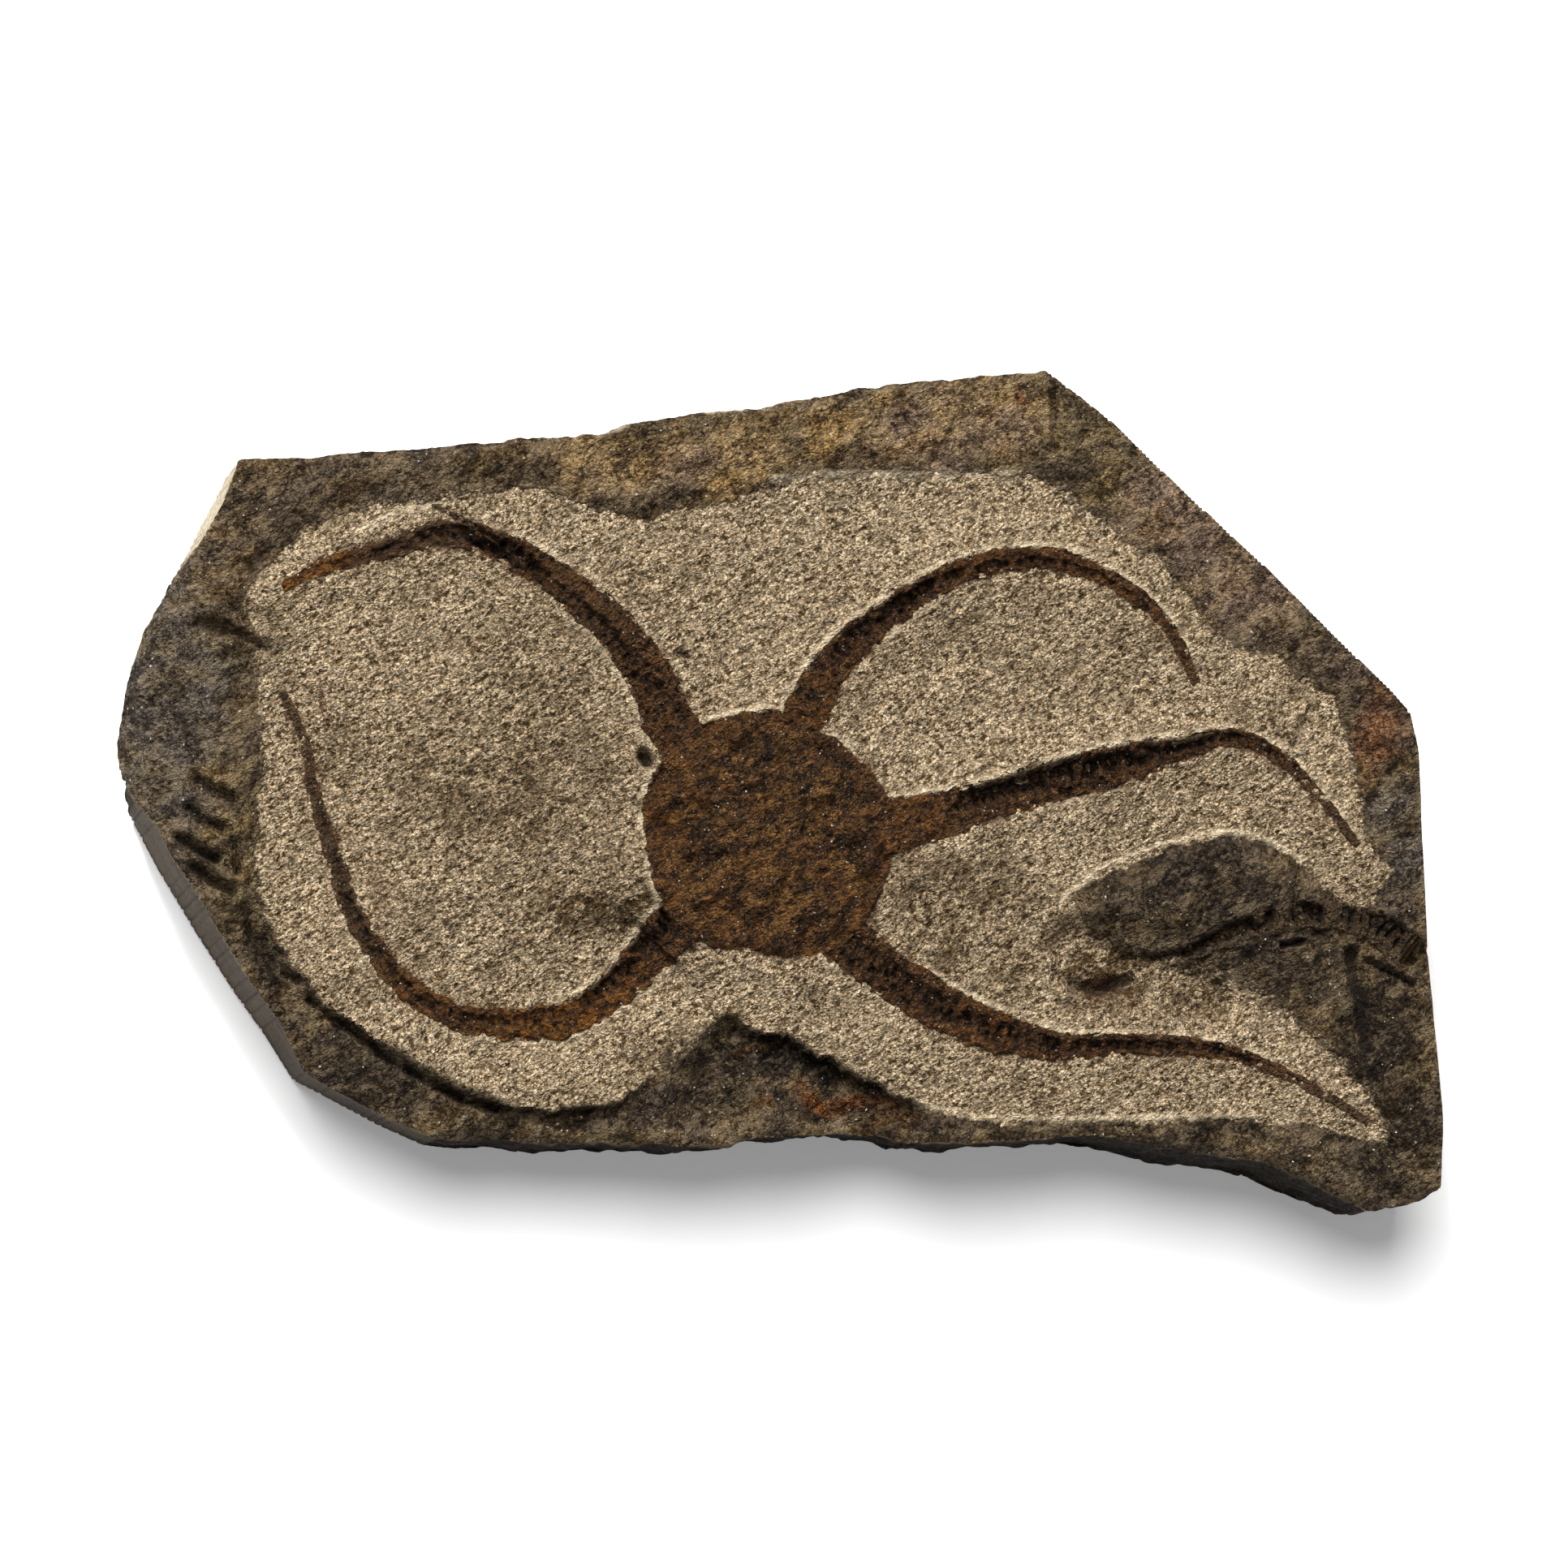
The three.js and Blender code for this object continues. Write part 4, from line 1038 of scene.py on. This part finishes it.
def fossil_limonite():
    """Limonite cast of the skeleton: dark brown iron oxide with rusty patches, painted black
    as shade in the furrows and pits, under a thin coat of preparator's varnish whose
    glints on fine grains are painted into the colour as highlights."""
    material, tree, place = new_material("limonite_varnished")
    mottle = grain(tree, place, (3.0, 2.0, 2.4), 5.0, 0.7, turn=40)
    patch = grain(tree, place, (1.3, 0.9, 1.1), 3.0, 0.7, turn=10)
    fibre = grain(tree, place, (0.6, 0.32, 0.45), 3.0, 0.75, turn=40)
    fleck = grain(tree, place, (0.24, 0.2, 0.22), 1.0, 0.7, turn=40)
    middle, tone, kind = packed_grains(tree, place, 0.32)

    colour = blend(tree, stretch(tree, mottle, 0.44, 0.56), "#332212", "#986c38")
    colour = blend(tree, combine(tree, "MULTIPLY", attribute(tree, "arm"), 0.7), colour, "#694429")
    colour = lay_over(tree, colour, [
        (patch, 0.52, 0.60, 0.6, "#7a5030"),
        (patch, 0.47, 0.39, 0.75, "#170e08"),
        (fibre, 0.52, 0.40, 1.0, "#8f8b86", "MULTIPLY"),
        (fleck, 0.52, 0.62, 0.6, "#1a110a"),
        (fleck, 0.39, 0.33, 0.6, "#a07e56"),
    ])
    rusty = combine(tree, "MULTIPLY", attribute(tree, "rust"), stretch(tree, fibre, 0.42, 0.58, 1.0, 0.6))
    colour = blend(tree, rusty, colour, blend(tree, stretch(tree, patch, 0.44, 0.56), "#4a2c14", "#99652b"))
    veil = combine(tree, "MULTIPLY", attribute(tree, "veil"), stretch(tree, fibre, 0.4, 0.56, 0.7, 1.0))
    colour = blend(tree, veil, colour, blend(tree, stretch(tree, fleck, 0.44, 0.56), "#403425", "#75624a"))
    # Black where the deep attribute is high: painted shade in the arms' furrows, pits and hollows; on the
    # disc, dark patches at random.
    colour = blend(tree, combine(tree, "MULTIPLY", attribute(tree, "deep"), 0.92), colour, "#0c0705")
    ragged = combine(tree, "ADD", attribute(tree, "margin"), combine(tree, "MULTIPLY_ADD", fleck, 2.4, -1.2))
    colour = lay_over(tree, colour, [
        (tone, 0.5, 0.0, 0.55, "#a39b94", "MULTIPLY"),
        (tone, 0.5, 1.0, 0.12, "#b98e60"),
        (ragged, 0.5, 0.9, 0.7, "#6b563c"),
    ])
    glints = combine(tree, "MULTIPLY", stretch(tree, kind, 0.965, 0.97), stretch(tree, middle, 0.36, 0.18))
    colour = blend(tree, glints, colour, "#e0d4c4")

    polished = combine(tree, "MULTIPLY", attribute(tree, "arm"), stretch(tree, patch, 0.45, 0.56))
    shine = combine(tree, "MULTIPLY_ADD", polished, -0.3, stretch(tree, fleck, 0.38, 0.46, 0.5, 0.75))
    height = pile_up(tree, mottle, [(fibre, 3.4), (patch, 5.0), (fleck, 0.5), (middle, -0.12)])
    close_material(tree, colour, shine, height, 1.0, specular=0.14)
    return material


# ---- settings -------------------------------------------------------------------------


class SlabSettings(bpy.types.PropertyGroup):
    grid_step: bpy.props.FloatProperty(
        name="Grid step", description="Spacing of the points on the stone's face",
        default=0.38 * MM, unit="LENGTH", precision=5,
    )
    wall_rows: bpy.props.IntProperty(
        name="Wall rows", description="Rows of faces down the slab's walls", default=13,
    )
    crust_colour: bpy.props.FloatVectorProperty(
        name="Crust colour", description="Colour of the weathered crust where it has no stain",
        subtype="COLOR", size=4, min=0, max=1, default=paint(CRUST_COLOUR),
    )


class StarSettings(bpy.types.PropertyGroup):
    step: bpy.props.FloatProperty(
        name="Step", description="Spacing of the points along an arm and over the disc",
        default=0.15 * MM, unit="LENGTH", precision=5,
    )
    columns: bpy.props.IntProperty(
        name="Columns", description="Faces across an arm", default=30,
    )
    thickness: bpy.props.FloatProperty(
        name="Thickness", description="Depth of the star's pieces below the face",
        default=2.4 * MM, unit="LENGTH", precision=4,
    )


class StageSettings(bpy.types.PropertyGroup):
    view_distance: bpy.props.FloatProperty(
        name="View distance", description="From the camera to the face of the stone",
        default=0.7, unit="LENGTH",
    )
    key_energy: bpy.props.FloatProperty(
        name="Key light", description="Strength of the large soft light above", default=3.3,
    )
    key_softness: bpy.props.FloatProperty(
        name="Key softness", description="Angle that the key light fills in the sky",
        default=math.radians(34), subtype="ANGLE",
    )
    rake_energy: bpy.props.FloatProperty(
        name="Raking light", description="Strength of the light that brings out the relief",
        default=4.3,
    )
    table_glow: bpy.props.FloatProperty(
        name="Table glow", description="Light that shines through the table", default=0.2,
    )
    fill: bpy.props.FloatProperty(
        name="Fill", description="Strength of the white surroundings", default=0.17,
    )


# ---- operators ------------------------------------------------------------------------


def wall_outward(x, y):
    """For points on the outline: which way is out, and how far the foot stands out."""
    out = np.zeros((len(x), 2))
    foot = np.zeros(len(x))
    best = np.full(len(x), np.inf)
    for (ax, ay, afoot), (bx, by, bfoot) in zip(SLAB_EDGE, SLAB_EDGE[1:] + SLAB_EDGE[:1]):
        length = math.hypot(bx - ax, by - ay)
        along, distance = nearest_on(x, y, (ax, ay), (bx, by))
        out += np.array([(by - ay) / length, (ax - bx) / length]) / (distance[:, None] + 1.5) ** 4
        closer = distance < best
        best = np.where(closer, distance, best)
        foot = np.where(closer, afoot + along * (bfoot - afoot), foot)
    return out / np.linalg.norm(out, axis=1)[:, None], foot


def sawn_share(x, y):
    """1 near the parts of the outline that were sawn, 0 near those that broke."""
    sawn = np.full(len(x), np.inf)
    other = np.full(len(x), np.inf)
    starts, stops = zip(*SAWN)
    within = False
    for a, b in zip(SLAB_LOOP, SLAB_LOOP[1:] + SLAB_LOOP[:1]):
        within = (within or a in starts) and a not in stops
        distance = nearest_on(x, y, a, b)[1]
        if within:
            sawn = np.minimum(sawn, distance)
        else:
            other = np.minimum(other, distance)
    return smooth(-0.8, 0.8, other - sawn)


class FOSSIL_OT_slab(bpy.types.Operator):
    """Models the slab: its cleared and crusted face, its sawn and broken walls"""

    bl_idname = "fossil.slab"
    bl_label = "Slab"

    def execute(self, context):
        settings = context.scene.fossil_slab
        step = settings.grid_step / MM
        margin = 1.5
        width = SLAB_HIGH[0] - SLAB_LOW[0] + 2 * margin
        depth = SLAB_HIGH[1] - SLAB_LOW[1] + 2 * margin
        slab = add_grid("slab_stone", int(width / step), int(depth / step))
        with editing():
            bpy.ops.transform.resize(value=(width, depth, 1))
        trim_to_loop(slab, SLAB_LOOP)
        rows = settings.wall_rows
        extrude_border(rows)
        self.shape(slab, rows, paint_over=settings.crust_colour)
        finishes = [sandstone_face(), sandstone_sawn(), sandstone_broken()]
        finish_piece(slab, "slab", finishes, sharp=60)
        return {"FINISHED"}

    def shape(self, slab, rows, paint_over):
        points = read_points(slab)
        x, y = points[:, 0].copy(), points[:, 1].copy()
        row = np.rint(-points[:, 2]).astype(int)
        inside = np.maximum(0, -loop_distance(x, y, SLAB_LOOP))
        out, foot = wall_outward(x, y)
        sawn = sawn_share(x, y)
        bites = 0.16 * rough(x, y, 6.5, 3, 301) + 0.16 * rough(x, y, 2.0, 3, 341)
        bites = bites * (1 - 0.97 * sawn) * (1 - smooth(0, 2.2, inside))
        x, y = x + out[:, 0] * bites, y + out[:, 1] * bites
        face = stone_face(x, y)
        worn = (0.75 - 0.6 * sawn) * (1 + 0.6 * rough(x, y, 3.0, 2, 311))
        calm = 0.85 * sawn * (1 - smooth(0.2, 2.0, inside))
        top = face["z"] * (1 - calm) + face_levels(x, y)[0] * calm
        top = top - worn * (1 - smooth(0, 1.3 - 0.9 * sawn, inside)) ** 2
        star = face["star"] + 0.15 * bumps(x, y, 1.1, 151)
        bed = smooth(-0.35, -0.9, star)
        top = top - BED_DROP * bed

        level = 1 - row / (rows - 1)
        z = np.where(row == 0, top, top * level)
        on_wall = row > 0
        shift = foot * (1 - level)
        lump = rough(x + 2.0 * z, y - 2.0 * z, 5.0, 3, 161)
        shift = shift + np.where(on_wall, (1 - sawn) * 0.45 * lump - sawn * 0.02 * np.abs(lump), 0)
        z = np.where(row == rows - 1, UNDERSIDE_BEVEL, z)
        z = np.where(row == rows, 0.0, z)
        foot_shift = foot + (1 - sawn) * 0.2 * bumps(x, y, 4.0, 171)
        shift = np.where(row >= rows - 1, foot_shift, shift)
        x_out = x + out[:, 0] * shift * on_wall
        y_out = y + out[:, 1] * shift * on_wall
        mx, my = SLAB_MIDDLE
        inward = np.where(row == rows, 1 - UNDERSIDE_BEVEL / np.hypot(x - mx, y - my), 1)
        points[:, 0] = (mx + (x_out - mx) * inward) * MM
        points[:, 1] = (my + (y_out - my) * inward) * MM
        points[:, 2] = z * MM
        write_points(slab, points)

        halo = np.exp(-((np.maximum(star, 0) / 0.5) ** 2)) * smooth(-0.3, 0.5, rough(x, y, 4.0, 3, 321))
        halo = 0.85 * halo * (1 - face["pale"]) * (1 - face["crust"])
        # Darkening of the cleared stone: grime and painted shade.
        grime = patches(x, y, GRIME_AND_SHADE, 1.6) + 0.35 * smooth(0.0, 0.8, rough(x, y, 7.0, 3, 421))
        colour = self.weathering(x, y, paint_over)
        # On the walls the stone's colour is the wall tints, with their painted light and shade.
        colour[on_wall] = self.wall_tint(x[on_wall], y[on_wall])
        keep_attributes(
            slab, crust=face["crust"], stain=np.maximum(halo, patches(x, y, RUST_STAINS, 0.5)),
            grime=np.minimum(grime, 1), pale=face["pale"], cut=face["cut"], weathering=colour,
        )

        corners = face_corners(slab)
        starts = np.empty(len(slab.data.polygons), np.int32)
        slab.data.polygons.foreach_get("loop_start", starts)
        deepest = np.maximum.reduceat(row[corners], starts)
        is_sawn = np.minimum.reduceat(sawn[corners], starts) > 0.5
        finish = np.where(deepest == 0, 0, np.where(is_sawn | (deepest == rows), 1, 2))
        slab.data.polygons.foreach_set("material_index", finish.astype(np.int32))

    def wall_tint(self, x, y):
        """The walls' colour at each point, blended from each named place to the next, with its painted light
        and shade.
        """
        total = np.zeros((len(x), 4))
        weight = np.zeros(len(x))
        for px, py, code in WALL_TINTS:
            near = 1 / (np.hypot(x - px, y - py) + 1.0) ** 4
            total += near[:, None] * np.array(paint(code))
            weight += near
        return total / weight[:, None]

    def weathering(self, x, y, plain):
        """The crust's colour at each point, its stains spread with ragged edges."""
        colour = np.tile(np.array(plain, float), (len(x), 1))
        wx, wy = warped(x, y, 2.2, 8.0, 181)
        for sx, sy, rx, ry, code, strength in CRUST_STAINS:
            away = np.hypot((wx - sx) / rx, (wy - sy) / ry)
            share = (strength * (1 - smooth(0.35, 1.15, away)))[:, None]
            colour = colour * (1 - share) + np.array(paint(code)) * share
        return colour


class FOSSIL_OT_disc(bpy.types.Operator):
    """Models the star's disc, a low wrinkled dome with a ragged margin"""

    bl_idname = "fossil.disc"
    bl_label = "Disc"

    def execute(self, context):
        settings = context.scene.fossil_star
        step = settings.step / MM * 1.1
        width = 2 * DISC_REACH
        disc = add_grid("disc_cast", int(width / step), int(width / step))
        with editing():
            bpy.ops.transform.resize(value=(width, width, 1))
            bpy.ops.transform.translate(value=(*DISC_CENTRE, 0))
        centre = np.array(DISC_CENTRE)
        outer = [tuple(centre + (np.array(p) - centre) * 1.02) for p in DISC_LOOP]
        trim_to_loop(disc, outer)
        extrude_border(1)

        points = read_points(disc)
        x, y = points[:, 0].copy(), points[:, 1].copy()
        under = points[:, 2] < -0.5
        margin = loop_distance(x, y, DISC_LOOP) + 0.3 * rough(x, y, 1.6, 3, 201)
        face = stone_face(x, y, pecked=False)["z"]
        edge = smooth(-0.7, 0.1, margin)
        z = face + disc_shape(x, y) * (1 - edge) + 0.08 * edge - 1.3 * smooth(0.0, 0.3, margin)
        z = np.where(under, CLEARED_LEVEL - settings.thickness / MM, z)
        write_points(disc, np.stack([x, y, z], axis=1) * MM)
        low = smooth(6, -12, y + 0.5 * x)
        keep_attributes(
            disc, deep=0.45 * smooth(0.0, 0.7, rough(x + 2.0, y, 4.0, 4, 331)),
            rust=(0.12 + 0.35 * low) * smooth(-0.4, 0.7, rough(x, y, 3.5, 4, 211)),
            margin=smooth(-0.35, 0.1, margin), veil=np.zeros(len(x)), arm=arm_share(x, y),
        )
        finish_piece(disc, "disc", [fossil_limonite()])
        return {"FINISHED"}


class FOSSIL_OT_arms(bpy.types.Operator):
    """Models the five arms and the stray arm: ribbed, furrowed and pitted strips"""

    bl_idname = "fossil.arms"
    bl_label = "Arms"

    def execute(self, context):
        settings = context.scene.fossil_star
        finish = fossil_limonite()
        for name in ARMS:
            arm = self.model(name, settings)
            finish_piece(arm, name, [finish])
        return {"FINISHED"}

    def model(self, name, settings):
        line, length = curve_through(ARMS[name]["line"], settings.step / MM)
        rows = len(line) - 1
        arm = add_grid(name + "_cast", rows, settings.columns)
        extrude_border(1)

        points = read_points(arm)
        under = points[:, 2] < -0.5
        place = np.clip(np.rint((points[:, 0] + 0.5) * rows).astype(int), 0, rows)
        across = points[:, 1] * 2 * ARM_SKIRT
        forward = np.gradient(line[:, :2], axis=0)
        forward /= np.linalg.norm(forward, axis=1)[:, None]
        half = line[place, 2]
        left = np.stack([-forward[place, 1], forward[place, 0]], axis=1)
        x, y = (line[place, :2] + left * (across * half)[:, None]).T
        along = place / rows * length
        z, deep, rust, veil = arm_shape(name, along, across, x, y, half)
        face = stone_face(x, y, pecked=False)["z"]
        margin = (np.abs(across) - 1) * half + 0.32 * rough(x, y, 1.5, 4, 221) * np.minimum(1, half)
        ends = np.minimum(along, length - along) if name == "stray_arm" else along
        margin = np.maximum(margin, 0.6 - ends)
        margin = np.maximum(margin, 0.5 - (length - along))
        edge = smooth(-0.3, 0.05, margin)
        z = face + z * (1 - edge) + 0.06 * edge - 0.9 * smooth(0.0, 0.25, margin)
        z -= 1.6 * smooth(0.4, 2.6, -loop_distance(x, y, DISC_LOOP))
        z = np.where(under, CLEARED_LEVEL - settings.thickness / MM, z)
        write_points(arm, np.stack([x, y, z], axis=1) * MM)
        keep_attributes(
            arm, deep=deep, rust=rust, veil=veil, arm=arm_share(x, y), margin=smooth(-0.25, 0.1, margin),
        )
        return arm


class FOSSIL_OT_stage(bpy.types.Operator):
    """Sets the pale table, the raking key light, the surroundings and the camera"""

    bl_idname = "fossil.stage"
    bl_label = "Stage"

    def execute(self, context):
        settings = context.scene.fossil_stage
        scene = context.scene
        deselect_everything()
        bpy.ops.mesh.primitive_plane_add(size=8)
        table = context.object
        table.name = "table"
        material, tree, _ = new_material("paper_white")
        shader = add_node(
            tree, "ShaderNodeBsdfPrincipled",
            {
                "Base Color": paint("#f8f8f8"), "Roughness": 0.9, "Specular IOR Level": 0.0,
                "Emission Color": (1, 1, 1, 1), "Emission Strength": settings.table_glow,
            },
        )
        add_node(tree, "ShaderNodeOutputMaterial", links={0: shader.outputs[0]})
        table.data.materials.append(material)

        world = bpy.data.worlds.new("studio")
        world.use_nodes = True
        world.node_tree.nodes["Background"].inputs["Color"].default_value = (1, 1, 1, 1)
        world.node_tree.nodes["Background"].inputs["Strength"].default_value = settings.fill
        scene.world = world

        self.add_sun("key_softbox", KEY_FROM, settings.key_energy, settings.key_softness)
        self.add_sun("rake", RAKE_FROM, settings.rake_energy, math.radians(9))

        scene.view_settings.view_transform = "Standard"
        self.aim_camera(scene, settings)
        return {"FINISHED"}

    def add_sun(self, name, place, energy, softness):
        place = Vector(place)
        bpy.ops.object.light_add(type="SUN", location=place)
        sun = bpy.context.object
        sun.name = name
        sun.data.energy = energy
        sun.data.angle = softness
        sun.rotation_euler = place.to_track_quat("Z", "Y").to_euler()

    def aim_camera(self, scene, settings):
        """Looks down on the face from a little to the left and in front."""
        target = Vector(CAMERA_TARGET) * MM
        back = Vector((*CAMERA_LEAN, 0.0))
        back.z = math.sqrt(1 - back.length_squared)
        side = Vector((0, 1, 0)).cross(back).normalized()
        up = back.cross(side)
        camera = bpy.data.objects.new("camera", bpy.data.cameras.new("camera"))
        scene.collection.objects.link(camera)
        turned = Matrix((side, up, back)).transposed().to_4x4()
        camera.matrix_world = Matrix.Translation(target + back * settings.view_distance) @ turned
        camera.data.sensor_width = 36
        camera.data.lens = CAMERA_LENS
        camera.data.clip_end = 20
        scene.camera = camera


class FOSSIL_PT_panel(bpy.types.Panel):
    """Shows the fossil's settings and the buttons that model its pieces and set the stage"""

    bl_label = "Brittle Star Fossil"
    bl_idname = "FOSSIL_PT_panel"
    bl_space_type = "VIEW_3D"
    bl_region_type = "UI"
    bl_category = "Fossil"

    def draw(self, context):
        groups = (
            ("fossil_slab", ("fossil.slab",)),
            ("fossil_star", ("fossil.disc", "fossil.arms")),
            ("fossil_stage", ("fossil.stage",)),
        )
        for group, operators in groups:
            box = self.layout.box()
            settings = getattr(context.scene, group)
            for name in settings.bl_rna.properties.keys():
                if name not in ("rna_type", "name"):
                    box.prop(settings, name)
            for operator in operators:
                box.operator(operator)


SETTINGS = {"fossil_slab": SlabSettings, "fossil_star": StarSettings, "fossil_stage": StageSettings}
CLASSES = (
    SlabSettings, StarSettings, StageSettings,
    FOSSIL_OT_slab, FOSSIL_OT_disc, FOSSIL_OT_arms, FOSSIL_OT_stage, FOSSIL_PT_panel,
)


def register():
    for item in CLASSES:
        bpy.utils.register_class(item)
    for name, group in SETTINGS.items():
        setattr(bpy.types.Scene, name, bpy.props.PointerProperty(type=group))


def unregister():
    for name in SETTINGS:
        delattr(bpy.types.Scene, name)
    for item in reversed(CLASSES):
        bpy.utils.unregister_class(item)


def main():
    register()
    bpy.ops.fossil.slab()
    bpy.ops.fossil.disc()
    bpy.ops.fossil.arms()
    bpy.ops.fossil.stage()


if __name__ == "__main__":
    main()
